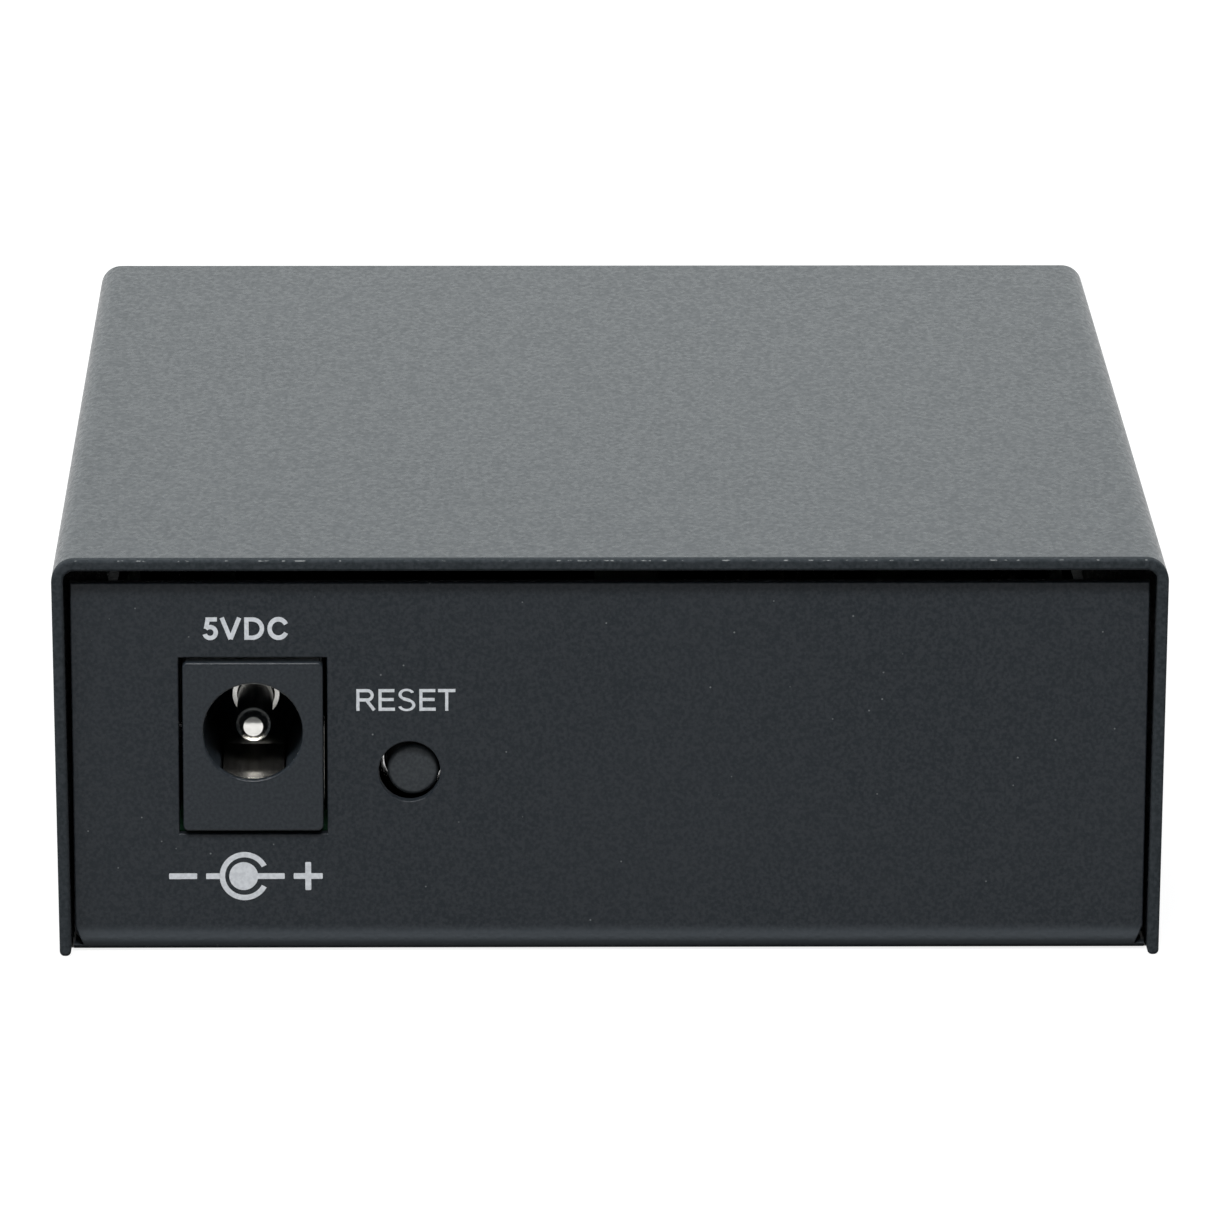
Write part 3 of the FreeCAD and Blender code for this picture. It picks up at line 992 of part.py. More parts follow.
NODES = [cover, tray, cover_screws, board_standoffs, board_screws, board, jack, pin, leaf, side_contact,
         switch, button, dome, bracket, switch_pins, shield, insert, copper_contacts, copper_pins, fibre,
         sleeves, clips, optical, module_lid, module_pins, holder, lamps, lamp_legs, transformer,
         transformer_leads, chip, chip_leads, memory, memory_leads, crystal, regulator, regulator_leads,
         inductor, cans, diode, fuse, ceramics, resistors]

doc.recompute()
for thing in doc.Objects:
    if "Invalid" in thing.State or "Error" in thing.State:
        raise RuntimeError(f"{thing.Label}: {thing.State}")
for node in NODES:
    if node.Shape.isNull() or not node.Shape.isValid() or node.Shape.Volume <= 0:
        raise RuntimeError(f"{node.Label} has no valid shape")
    node.Shape.exportStep(f"parts/{node.Label}.step")
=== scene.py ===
# %% [markdown]
# # Fibre media converter
# This lesson dresses a small network box: a dark powder-coated steel case with a power jack and a
# recessed reset button in its rear panel, and two data ports and six lamps in its front panel.
# The solids come ready made from the frame. Here they get their finishes, the ink marks that are
# printed on the rear panel, a little dust and wear, and the light and camera that show them.

# %% Load the solids
import bpy
import json
import math
from mathutils import Matrix, Vector


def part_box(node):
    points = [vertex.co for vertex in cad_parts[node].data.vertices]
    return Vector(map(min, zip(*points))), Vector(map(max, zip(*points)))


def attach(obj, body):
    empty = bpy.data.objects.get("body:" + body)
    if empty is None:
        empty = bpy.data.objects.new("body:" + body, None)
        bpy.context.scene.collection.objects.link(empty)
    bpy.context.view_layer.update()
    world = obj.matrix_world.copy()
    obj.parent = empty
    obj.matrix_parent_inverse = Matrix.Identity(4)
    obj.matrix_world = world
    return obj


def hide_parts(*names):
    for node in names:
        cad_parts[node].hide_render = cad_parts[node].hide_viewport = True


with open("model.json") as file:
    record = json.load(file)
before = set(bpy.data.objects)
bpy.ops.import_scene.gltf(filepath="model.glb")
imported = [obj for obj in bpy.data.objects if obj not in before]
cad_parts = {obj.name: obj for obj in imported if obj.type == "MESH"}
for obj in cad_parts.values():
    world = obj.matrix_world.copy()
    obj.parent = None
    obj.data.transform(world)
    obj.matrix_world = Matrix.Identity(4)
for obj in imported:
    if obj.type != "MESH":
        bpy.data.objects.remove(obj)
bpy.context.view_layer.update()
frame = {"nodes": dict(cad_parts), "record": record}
nodes = frame["nodes"]

MM = 0.001
MERGE = 0.0005 * MM
FACE_REAR = math.radians(90)

# %% [markdown]
# ## Places
# Every mark, lamp and worn spot is placed from the solids themselves, so that nothing has to be
# fitted by eye. These are the faces and middles that the later cells need: the rear panel, the
# cover's near edge, the power jack and the reset button.

# %% Faces and middles of the solids
cover_low, cover_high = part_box("top_cover")
jack_low, jack_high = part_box("power_jack_housing")
button_low, button_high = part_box("reset_button")
PANEL_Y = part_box("base_tray")[0].y
jack_middle = (jack_low.x + jack_high.x) / 2
button_middle = (button_low + button_high) / 2
print("rear panel at y", round(PANEL_Y / MM, 2), "jack at x", round(jack_middle / MM, 2),
      "button at x", round(button_middle.x / MM, 2))

# %% [markdown]
# ## Camera
# The box is seen from a little above its rear panel through a long lens, so that its sides hardly
# converge. A long lens far away does that, where a short lens close by would not.

# %% Camera
LENS_MM = 291.03
STAND = Vector((-9.6, -671.61, 176.85)) * MM
YAW, PITCH, ROLL = math.radians(0.8748), math.radians(13.795), math.radians(0.136)

forward = Vector((math.sin(YAW) * math.cos(PITCH), math.cos(YAW) * math.cos(PITCH), -math.sin(PITCH)))
level = Vector((math.cos(YAW), -math.sin(YAW), 0.0))
upward = level.cross(forward)
right = level * math.cos(ROLL) + upward * math.sin(ROLL)
top = upward * math.cos(ROLL) - level * math.sin(ROLL)

camera_data = bpy.data.cameras.new("camera")
camera_data.lens = LENS_MM
camera_data.sensor_width = 36.0
camera_data.clip_start, camera_data.clip_end = 0.05, 20.0
camera = bpy.data.objects.new("camera", camera_data)
bpy.context.scene.collection.objects.link(camera)
camera.matrix_world = Matrix.Translation(STAND) @ Matrix((right, top, -forward)).transposed().to_4x4()
bpy.context.scene.camera = camera
print("camera at", tuple(round(c, 3) for c in STAND))

# %% [markdown]
# ## Node trees
# A material is a small net of nodes. One helper adds a node and sets or links its sockets by name,
# which keeps each finish below short enough to read at a glance. A value that is the same all over
# goes straight onto the shader's own socket.

# %% Helpers for node trees
scene = bpy.context.scene
scene.view_settings.view_transform = "Standard"


def nodes_of(owner):
    """The empty node tree of a material or a world."""
    owner.use_nodes = True
    tree = owner.node_tree
    tree.nodes.clear()
    return tree


def add(tree, kind, *inputs, **sockets):
    """Add a node. Plain values go to its first inputs; names are properties or sockets, _ for a space."""
    node = tree.nodes.new(kind)
    for name in [n for n in sockets if hasattr(node, n)]:
        setattr(node, name, sockets.pop(name))
    places = list(zip([s for s in node.inputs if s.enabled], inputs))
    places += [(next(s for s in node.inputs if s.enabled and s.name.replace(" ", "_") == name), value)
               for name, value in sockets.items()]
    for socket, value in places:
        if isinstance(value, bpy.types.NodeSocket):
            tree.links.new(value, socket)
        elif value is not None:
            socket.default_value = value
    return node


def calc(tree, operation, *inputs):
    """The result of one Math node."""
    return add(tree, "ShaderNodeMath", *inputs, operation=operation).outputs[0]


def fade(tree, value, start, end, low=0.0, high=1.0):
    """A value that goes smoothly from low at start to high at end."""
    return add(tree, "ShaderNodeMapRange", interpolation_type="SMOOTHSTEP", Value=value,
               From_Min=start, From_Max=end, To_Min=low, To_Max=high).outputs["Result"]


def any_ray(tree, *kinds):
    """1 for rays of these kinds, 0 for the rest."""
    path = add(tree, "ShaderNodeLightPath")
    found = path.outputs[f"Is {kinds[0]} Ray"]
    for kind in kinds[1:]:
        found = calc(tree, "MAXIMUM", found, path.outputs[f"Is {kind} Ray"])
    return found


# %% [markdown]
# ## Studio
# The box stands on white paper in a white studio. The world is the room: white behind the box, which
# the top face mirrors at a glancing angle, and dim on the camera's side, which keeps the upright rear
# panel dark. The paper adds light of its own only where it is looked at, straight or in a mirror, so
# that it reads as white without lighting the object, and it still takes the box's shadow.

# %% The room
ROOM_WHITE = 1.0
ROOM_FRONT = 0.12
ROOM_TINT = (0.957, 1.0, 1.008)
world = bpy.data.worlds.new("room")
scene.world = world
room = nodes_of(world)
direction = add(room, "ShaderNodeTexCoord")
split = add(room, "ShaderNodeSeparateXYZ", direction.outputs["Generated"])
sweep = fade(room, split.outputs["Y"], -0.5, 0.6, ROOM_FRONT, ROOM_WHITE)
soft = add(room, "ShaderNodeBackground", (*ROOM_TINT, 1), sweep)
paper_white = add(room, "ShaderNodeBackground", (1, 1, 1, 1), ROOM_WHITE)
seen_room = add(room, "ShaderNodeMixShader", any_ray(room, "Camera", "Transmission"),
                soft.outputs[0], paper_white.outputs[0])
add(room, "ShaderNodeOutputWorld", seen_room.outputs[0])

# %% The paper floor
PAPER_GREY = 0.22
PAPER_GLOW = 0.85
# The paper's glow is left out under the box's foot, and for mirror rays also in a band a few millimetres
# round it: painted shade under and beside the box, where its contact shadow falls.
UNDER_SIDE, UNDER_END = cover_high.x - 0.3 * MM, -PANEL_Y - 1.05 * MM
EDGE_SOFT = 0.4 * MM
MIRROR_START, MIRROR_SPREAD = 0.5 * MM, 3.0 * MM
bpy.ops.object.select_all(action="DESELECT")
bpy.ops.mesh.primitive_circle_add(vertices=96, radius=6.0, fill_type="NGON", location=(0, 0, -0.02 * MM))
floor = bpy.context.object
floor.name = "floor"
floor_paint = bpy.data.materials.new("floor_paper")
paper = nodes_of(floor_paint)
spot = add(paper, "ShaderNodeSeparateXYZ", add(paper, "ShaderNodeTexCoord").outputs["Object"])


def open_paper(first, last):
    """0 under the box and 1 beside it, times the paper's glow, so that shade is painted under the box; first
    and last say where the change starts and ends.
    """
    beside = fade(paper, calc(paper, "ABSOLUTE", spot.outputs["X"]), UNDER_SIDE + first, UNDER_SIDE + last)
    beyond = fade(paper, calc(paper, "ABSOLUTE", spot.outputs["Y"]), UNDER_END + first, UNDER_END + last)
    return calc(paper, "MULTIPLY", calc(paper, "MAXIMUM", beside, beyond), PAPER_GLOW)


# Seen in a mirror, the paper's glow starts only MIRROR_START beyond the box and takes MIRROR_SPREAD to come
# in: a painted contact shadow round the box's foot.
mirrored = any_ray(paper, "Glossy")
glow_level = calc(paper, "ADD",
                  calc(paper, "MULTIPLY", open_paper(-EDGE_SOFT, 0.0),
                       calc(paper, "SUBTRACT", 1.0, mirrored)),
                  calc(paper, "MULTIPLY", open_paper(MIRROR_START, MIRROR_START + MIRROR_SPREAD), mirrored))
matt = add(paper, "ShaderNodeBsdfDiffuse", (PAPER_GREY, PAPER_GREY, PAPER_GREY, 1), 0.5)
glow = add(paper, "ShaderNodeEmission", (1, 1, 1, 1), glow_level)
bright = add(paper, "ShaderNodeAddShader", matt.outputs[0], glow.outputs[0])
seen_paper = add(paper, "ShaderNodeMixShader", any_ray(paper, "Camera", "Transmission", "Glossy"),
                 matt.outputs[0], bright.outputs[0])
add(paper, "ShaderNodeOutputMaterial", seen_paper.outputs[0])
floor.data.materials.append(floor_paint)
print("paper floor", round(floor.dimensions.x, 2), "m across")

# %% Lamps
KEY_WATTS = 17.0
COOL_WATTS = 1.2


def softbox(name, place, width, height, watts, tint=(1.0, 1.0, 1.0)):
    """A rectangular area lamp that looks at the middle of the box."""
    bpy.ops.object.select_all(action="DESELECT")
    bpy.ops.object.light_add(type="AREA", location=place)
    lamp = bpy.context.object
    lamp.name = name
    lamp.data.shape = "RECTANGLE"
    lamp.data.size, lamp.data.size_y = width, height
    lamp.data.energy = watts
    lamp.data.color = tint
    aim = Vector((0.0, 0.0, cover_high.z / 2))
    lamp.rotation_euler = (aim - Vector(place)).to_track_quat("-Z", "Y").to_euler()
    print(name, "at", place, watts, "W")


softbox("key_softbox", (-0.12, -0.6, 1.04), 0.9, 0.14, KEY_WATTS)
softbox("cool_side_lamp", (-1.0, -0.45, 0.35), 0.4, 0.4, COOL_WATTS, (0.78, 0.89, 1.0))

# %% [markdown]
# ## Powder coat
# The case is steel with a dark, slightly blue-grey powder coat. Powder melts to a fine orange peel:
# even bumps about a sixth of a millimetre across that break up every highlight. A noise on object
# coordinates drives the bump, so the grain keeps its size on every face. A second noise gives grains
# of slightly different greys, a third makes broad soft clouds, and a few specks of dust lie on top.

# %% Parts of a finish
def finish(name, **sockets):
    """A new material with a Principled shader that is already wired to its output."""
    made = bpy.data.materials.new(name)
    tree = nodes_of(made)
    shader = add(tree, "ShaderNodeBsdfPrincipled", **sockets)
    add(tree, "ShaderNodeOutputMaterial", shader.outputs[0])
    return made, tree, shader


def place_of(tree):
    """Object coordinates: they stay with the piece and keep its scale."""
    return add(tree, "ShaderNodeTexCoord").outputs["Object"]


def noise_of(tree, where, scale, detail=2.0):
    """A noise with about scale waves to the metre."""
    return add(tree, "ShaderNodeTexNoise", Vector=where, Scale=scale, Detail=detail).outputs["Fac"]


def blend(tree, amount, low, high):
    """A colour between low and high; each is a colour or a socket."""
    low, high = ((*c, 1) if isinstance(c, tuple) else c for c in (low, high))
    mix = add(tree, "ShaderNodeMix", data_type="RGBA")
    for socket, value in zip((mix.inputs["Factor"], mix.inputs[6], mix.inputs[7]), (amount, low, high)):
        if isinstance(value, bpy.types.NodeSocket):
            tree.links.new(value, socket)
        else:
            socket.default_value = value
    return mix.outputs[2]


def mottle(tree, where, scale, low, high, detail=2.0):
    """Two near colours, mixed by a noise."""
    return blend(tree, fade(tree, noise_of(tree, where, scale, detail), 0.3, 0.7), low, high)


def relief(tree, shader, height, depth):
    """Bumps of a real depth, in metres, where height is 1."""
    bump = add(tree, "ShaderNodeBump", Height=height, Strength=1.0, Distance=depth)
    tree.links.new(bump.outputs["Normal"], shader.inputs["Normal"])


def set_colour(tree, shader, colour):
    tree.links.new(colour, shader.inputs["Base Color"])


# %% Dust and worn paint
SPECK_CELLS = 620.0
SPECK_SIZE = 0.05


def specks(tree, where, scale=SPECK_CELLS):
    """1 in tiny scattered dots, 0 elsewhere."""
    cells = add(tree, "ShaderNodeTexVoronoi", Vector=where, Scale=scale)
    return fade(tree, cells.outputs["Distance"], SPECK_SIZE, SPECK_SIZE * 0.4)


def worn_edge(tree, where, edge_y, edge_z, reach):
    """1 in short dashes along the edge that runs in X at (y, z), where paint has rubbed through."""
    axes = add(tree, "ShaderNodeSeparateXYZ", where)
    off_y = calc(tree, "SUBTRACT", axes.outputs["Y"], edge_y)
    off_z = calc(tree, "SUBTRACT", axes.outputs["Z"], edge_z)
    off = calc(tree, "SQRT", calc(tree, "ADD", calc(tree, "MULTIPLY", off_y, off_y),
                                  calc(tree, "MULTIPLY", off_z, off_z)))
    near = fade(tree, off, reach, reach * 0.7)
    dashes = fade(tree, noise_of(tree, where, 2000.0, 3.0), 0.56, 0.68)
    return calc(tree, "MULTIPLY", near, dashes)


# %% Powder coat
GRAIN = 4400.0
CLOUD = 70.0
PEEL = 0.03 * MM
DUST = (0.16, 0.17, 0.175)
WORN = (0.22, 0.23, 0.23)


def powder_coat(name, low, high, roughness, peel, flow):
    """Powder coat whose grains are 1/flow as long in Y as across; returns what later nodes need."""
    made, tree, shader = finish(name, IOR=1.3)
    where = place_of(tree)
    grains = add(tree, "ShaderNodeMapping", Vector=where, Scale=(1.0, flow, 1.0)).outputs[0]
    colour = mottle(tree, grains, GRAIN, low, high)
    clouds = fade(tree, noise_of(tree, where, CLOUD), 0.3, 0.7, 0.0, 0.2)
    colour = blend(tree, clouds, colour, high)
    rough = fade(tree, noise_of(tree, grains, GRAIN * 0.7), 0.3, 0.7, roughness - 0.05, roughness + 0.05)
    tree.links.new(rough, shader.inputs["Roughness"])
    relief(tree, shader, noise_of(tree, grains, GRAIN * 0.8, 2.0), peel)
    return made, tree, where, colour, shader, rough


cover_coat, tree, where, colour, shader, rough = powder_coat(
    "cover_coat", (0.0168, 0.0216, 0.0248), (0.0345, 0.0402, 0.0456), 0.31, PEEL, 0.5)
RUB_REACH = 0.115 * MM
worn = worn_edge(tree, where, cover_low.y, cover_high.z, RUB_REACH)
set_colour(tree, shader, blend(tree, worn, colour, WORN))
EDGE_BAND, EDGE_ROUGH = 0.95 * MM, 0.95
rim = fade(tree, add(tree, "ShaderNodeSeparateXYZ", where).outputs["Y"],
           cover_low.y + EDGE_BAND, cover_low.y + EDGE_BAND * 0.55)
dulled = calc(tree, "MAXIMUM", rough, calc(tree, "MULTIPLY", rim, EDGE_ROUGH))
tree.links.new(dulled, shader.inputs["Roughness"])

tray_coat, tree, where, colour, shader, _ = powder_coat(
    "tray_coat", (0.010, 0.014, 0.018), (0.025, 0.029, 0.034), 0.42, PEEL, 1.0)
# A lighter strip along the tray's lower bend, brightest BEND_PEAK above the foot: a painted highlight, where
# the bend mirrors the bright paper just in front of it.
BEND_PEAK, BEND_FOOT, BEND_TOP = 0.7 * MM, 0.0, 2.0 * MM
BEND_HIGHLIGHT = (0.082, 0.094, 0.106)
height = add(tree, "ShaderNodeSeparateXYZ", where).outputs["Z"]
bend_highlight = calc(tree, "MULTIPLY", fade(tree, height, BEND_FOOT, BEND_PEAK),
             fade(tree, height, BEND_TOP, BEND_PEAK))
colour = blend(tree, bend_highlight, colour, BEND_HIGHLIGHT)
set_colour(tree, shader, blend(tree, specks(tree, where), colour, DUST))
print("powder coats made:", cover_coat.name, tray_coat.name)

# %% [markdown]
# ## Mouldings and metals
# Black mouldings have a matt, faintly uneven skin, and plated metal is a metallic shader with a fine
# grain in its roughness. The shiny spring parts of the jack stay smooth, because they mirror the
# light at the mouth of the bore. The board is green lacquer over woven glass.

# %% Mouldings
FINE_SKIN = 0.014 * MM


def moulding(name, low, high, roughness, depth=0.004 * MM, scale=1500.0, gloss=1.45):
    made, tree, shader = finish(name, Roughness=roughness, IOR=gloss)
    where = place_of(tree)
    set_colour(tree, shader, mottle(tree, where, scale, low, high))
    relief(tree, shader, noise_of(tree, where, scale * 1.7, 1.0), depth)
    return made


jack_black = moulding("jack_black", (0.0098, 0.0136, 0.0182), (0.0198, 0.0248, 0.0300), 0.36,
                      FINE_SKIN, GRAIN, 1.35)
port_black = moulding("port_black", (0.012, 0.012, 0.013), (0.018, 0.018, 0.019), 0.38)
button_black = moulding("button_black", (0.022, 0.026, 0.030), (0.036, 0.041, 0.045), 0.5,
                        FINE_SKIN, GRAIN, 1.35)
clip_cream = moulding("clip_cream", (0.50, 0.47, 0.40), (0.58, 0.55, 0.48), 0.45)
chip_black = moulding("chip_black", (0.016, 0.016, 0.017), (0.028, 0.028, 0.029), 0.6)
ferrite_grey = moulding("ferrite_grey", (0.10, 0.10, 0.10), (0.16, 0.16, 0.16), 0.7)
fuse_green = moulding("fuse_green", (0.05, 0.19, 0.09), (0.08, 0.25, 0.12), 0.5)
ceramic_tan = moulding("ceramic_tan", (0.36, 0.26, 0.17), (0.46, 0.34, 0.23), 0.45)
resistor_dark = moulding("resistor_dark", (0.02, 0.02, 0.025), (0.035, 0.035, 0.04), 0.3)


# %% Metals
def metal(name, low, high, roughness, spread=0.08, scale=2500.0, depth=0.001 * MM):
    made, tree, shader = finish(name, Metallic=1.0)
    where = place_of(tree)
    set_colour(tree, shader, mottle(tree, where, scale, low, high))
    rough = fade(tree, noise_of(tree, where, scale * 0.6, 3.0), 0.3, 0.7,
                 roughness - spread, roughness + spread)
    tree.links.new(rough, shader.inputs["Roughness"])
    relief(tree, shader, noise_of(tree, where, scale * 2), depth)
    return made


tin = metal("tin", (0.58, 0.57, 0.53), (0.70, 0.68, 0.63), 0.25)
pin_plating = metal("pin_plating", (0.70, 0.69, 0.66), (0.76, 0.75, 0.72), 0.22, 0.02)
zinc_steel = metal("zinc_steel", (0.50, 0.50, 0.51), (0.62, 0.62, 0.62), 0.3)
bright_steel = metal("bright_steel", (0.66, 0.66, 0.66), (0.72, 0.72, 0.71), 0.1, 0.02, 1200.0, 0.0)
black_steel = metal("black_steel", (0.05, 0.05, 0.053), (0.08, 0.08, 0.083), 0.4)
spring_plating = metal("spring_plating", (0.64, 0.62, 0.58), (0.68, 0.66, 0.62), 0.25, 0.02, 6000.0, 0.0)
nickel = metal("nickel", (0.62, 0.61, 0.58), (0.72, 0.71, 0.68), 0.28)
gold_plate = metal("gold_plate", (0.78, 0.56, 0.2), (0.86, 0.64, 0.27), 0.2)
turned_steel = metal("turned_steel", (0.55, 0.55, 0.54), (0.64, 0.64, 0.63), 0.22)
bare_aluminium = metal("bare_aluminium", (0.68, 0.68, 0.69), (0.76, 0.76, 0.77), 0.32)

# %% Board lacquer and lamp lens
board_green, tree, shader = finish("board_green", Roughness=0.65, IOR=1.4)
where = place_of(tree)
set_colour(tree, shader, mottle(tree, where, 900.0, (0.008, 0.055, 0.022), (0.012, 0.075, 0.03)))
weave = add(tree, "ShaderNodeTexWave", Vector=where, Scale=1400.0, Distortion=0.6)
relief(tree, shader, weave.outputs["Fac"], 0.004 * MM)

lamp_lens, tree, shader = finish("lamp_lens", Roughness=0.35, IOR=1.5, Transmission_Weight=0.6)
where = place_of(tree)
set_colour(tree, shader, mottle(tree, where, 1200.0, (0.55, 0.62, 0.55), (0.66, 0.72, 0.66)))

# %% Give each solid its finish
FINISHES = {
    cover_coat: ["top_cover"],
    tray_coat: ["base_tray"],
    black_steel: ["cover_screws"],
    zinc_steel: ["board_standoffs", "board_screws", "reset_switch_dome"],
    bright_steel: ["reset_switch_bracket"],
    board_green: ["circuit_board"],
    jack_black: ["power_jack_housing", "reset_switch_body"],
    button_black: ["reset_button"],
    pin_plating: ["power_jack_centre_pin"],
    tin: ["power_jack_switch_contact", "reset_switch_pins", "copper_port_pins",
          "optical_module_pins", "lamp_leads", "line_transformer_leads", "converter_chip_leads",
          "memory_chip_leads", "voltage_regulator_leads"],
    spring_plating: ["power_jack_sleeve_spring"],
    nickel: ["copper_port_shield", "optical_module_lid", "crystal_can"],
    port_black: ["copper_port_insert", "fibre_port_housing", "optical_module_case", "lamp_holder"],
    gold_plate: ["copper_port_contacts"],
    turned_steel: ["fibre_port_sleeves"],
    clip_cream: ["fibre_port_clips"],
    lamp_lens: ["status_lamps"],
    chip_black: ["line_transformer", "converter_chip", "memory_chip", "voltage_regulator", "power_diode"],
    ferrite_grey: ["power_inductor"],
    bare_aluminium: ["electrolytic_capacitors"],
    fuse_green: ["input_fuse"],
    ceramic_tan: ["ceramic_capacitors"],
    resistor_dark: ["chip_resistors"],
}
for material, names in FINISHES.items():
    for name in names:
        for slot in nodes[name].material_slots:
            slot.material = material
        if not nodes[name].material_slots:
            nodes[name].data.materials.append(material)
print("finished", sum(len(names) for names in FINISHES.values()), "of", len(nodes), "solids")

# %% [markdown]
# ## Round pieces
# A solid from the frame is a net of flat triangles, which shows on small shiny rounds such as the
# jack's pin. Its mesh is left alone. A copy is merged instead, shaded smooth up to a crease angle, and
# its normals are weighted by area, so that flat faces stay flat. The copy then stands for the solid.

# %% Smooth copies of the round pieces
CREASE = math.radians(32)
ROUND_PIECES = {
    "converter": ["power_jack_housing", "power_jack_sleeve_spring", "power_jack_switch_contact",
                  "reset_switch_bracket", "fibre_port_sleeves", "status_lamps",
                  "electrolytic_capacitors", "cover_screws"],
    "reset_plunger": ["reset_button"],
}


def stand_for(piece, name, body):
    """Merge and smooth a piece, and let it stand for the solid of that name."""
    bpy.context.view_layer.objects.active = piece
    piece.select_set(True)
    bpy.ops.object.mode_set(mode="EDIT")
    bpy.ops.mesh.select_all(action="SELECT")
    bpy.ops.mesh.remove_doubles(threshold=MERGE)
    bpy.ops.mesh.normals_make_consistent(inside=False)
    bpy.ops.object.mode_set(mode="OBJECT")
    bpy.ops.object.shade_smooth_by_angle(angle=CREASE)
    weighted = piece.modifiers.new("weighted", "WEIGHTED_NORMAL")
    weighted.keep_sharp = True
    bpy.ops.object.modifier_apply(modifier=weighted.name)
    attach(piece, body)
    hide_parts(name)
    print(piece.name, "has", len(piece.data.polygons), "faces")


def smooth_copy(name, body):
    """A smoothly shaded copy of a solid that stands for it."""
    bpy.ops.object.select_all(action="DESELECT")
    copy = nodes[name].copy()
    copy.data = nodes[name].data.copy()
    copy.parent = None
    copy.matrix_world = Matrix.Identity(4)
    bpy.context.scene.collection.objects.link(copy)
    copy.name = copy.data.name = name + "_round"
    stand_for(copy, name, body)


for body, names in ROUND_PIECES.items():
    for name in names:
        smooth_copy(name, body)

# %% [markdown]
# ## The jack's centre pin
# The pin is turned from brass rod and tin plated. Its tip is a shallow dome with a crisp rim, so its
# lower half mirrors the paper and its upper half the dim side of the room. A tapered nose leads the
# plug on, down to a narrow shoulder that catches a thin arc of light. The pin is built as it is
# turned: a small disc, pulled back ring by ring to the shaft, the groove and the rim at its root. The
# solder blade at its rear end is a flat bar. Places and sizes are measured on the pin's solid.

# %% Measure the pin
PIN = "power_jack_centre_pin"
pin_low, pin_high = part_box(PIN)
pin_mount = next(m for m in frame["record"]["mounts"] if m["name"] == "power_pin")
pin_axis = Vector(pin_mount["pos_m"])
PIN_RADIUS = pin_mount["dims"]["r_mm"] * MM
pin_corners = [nodes[PIN].matrix_world @ v.co for v in nodes[PIN].data.vertices]


def off_axis(corner):
    return math.hypot(corner.x - pin_axis.x, corner.z - pin_axis.z)


ROOT_RADIUS = pin_high.x - pin_axis.x
root_y = min(c.y for c in pin_corners if off_axis(c) > ROOT_RADIUS - 0.01 * MM)
groove_y = min(c.y for c in pin_corners if c.y > root_y + 0.01 * MM)
groove_radius = max(off_axis(c) for c in pin_corners if abs(c.y - groove_y) < 0.01 * MM)
blade_corners = [c for c in pin_corners if c.z < pin_axis.z - ROOT_RADIUS - 0.1 * MM]
blade_half = max(c.x for c in blade_corners) - pin_axis.x
blade_y = min(c.y for c in blade_corners)
print("pin radius", round(PIN_RADIUS / MM, 2), "root radius", round(ROOT_RADIUS / MM, 2), "root at y",
      round(root_y / MM, 2), "groove", round((groove_y - root_y) / MM, 2), "to radius",
      round(groove_radius / MM, 2), "blade", round(2 * blade_half / MM, 2), "from y", round(blade_y / MM, 2))

# %% Turn the pin
DOME = [(0.18, 0.0), (0.34, 0.02), (0.50, 0.055), (0.64, 0.10)]
NOSE = [(0.68, 0.15), (0.76, 0.32), (0.86, 0.52), (0.95, 0.66), (0.985, 0.70)]
SHOULDER = [(1.10, 0.735), (1.15, 0.79), (1.17, 0.88)]
rings = [(radius * MM, pin_low.y + depth * MM) for radius, depth in DOME + NOSE + SHOULDER]
rings += [(PIN_RADIUS, root_y), (groove_radius, groove_y), (groove_radius, root_y),
          (ROOT_RADIUS, root_y), (ROOT_RADIUS, pin_high.y)]
bpy.ops.object.select_all(action="DESELECT")
bpy.ops.mesh.primitive_circle_add(vertices=96, radius=rings[0][0], fill_type="NGON",
                                  rotation=(FACE_REAR, 0, 0),
                                  location=(pin_axis.x, rings[0][1], pin_axis.z))
turned = bpy.context.object
bpy.ops.object.transform_apply(location=True, rotation=True, scale=True)
bpy.ops.object.mode_set(mode="EDIT")
bpy.ops.mesh.select_all(action="SELECT")
for (last_radius, last_y), (radius, y) in zip(rings, rings[1:]):
    wider = radius / last_radius
    bpy.ops.mesh.extrude_region_move(TRANSFORM_OT_translate={"value": (0, y - last_y, 0)})
    bpy.ops.transform.resize(value=(wider, 1.0, wider), center_override=(pin_axis.x, y, pin_axis.z))
bpy.ops.object.mode_set(mode="OBJECT")
print("turned pin from y", round(rings[0][1] / MM, 2), "to", round(rings[-1][1] / MM, 2))

# %% Add the solder blade
bpy.ops.object.select_all(action="DESELECT")
bpy.ops.mesh.primitive_plane_add(size=1.0, rotation=(FACE_REAR, 0, 0),
                                 location=(pin_axis.x, blade_y, (pin_low.z + pin_high.z) / 2))
blade = bpy.context.object
blade.scale = (2 * blade_half, pin_high.z - pin_low.z, 1.0)
bpy.ops.object.transform_apply(location=True, rotation=True, scale=True)
bpy.ops.object.mode_set(mode="EDIT")
bpy.ops.mesh.select_all(action="SELECT")
bpy.ops.mesh.extrude_region_move(TRANSFORM_OT_translate={"value": (0, pin_high.y - blade_y, 0)})
bpy.ops.object.mode_set(mode="OBJECT")
turned.select_set(True)
bpy.context.view_layer.objects.active = turned
bpy.ops.object.join()
turned.name = turned.data.name = PIN + "_turned"
turned.data.materials.clear()
turned.data.materials.append(pin_plating)
stand_for(turned, PIN, "converter")

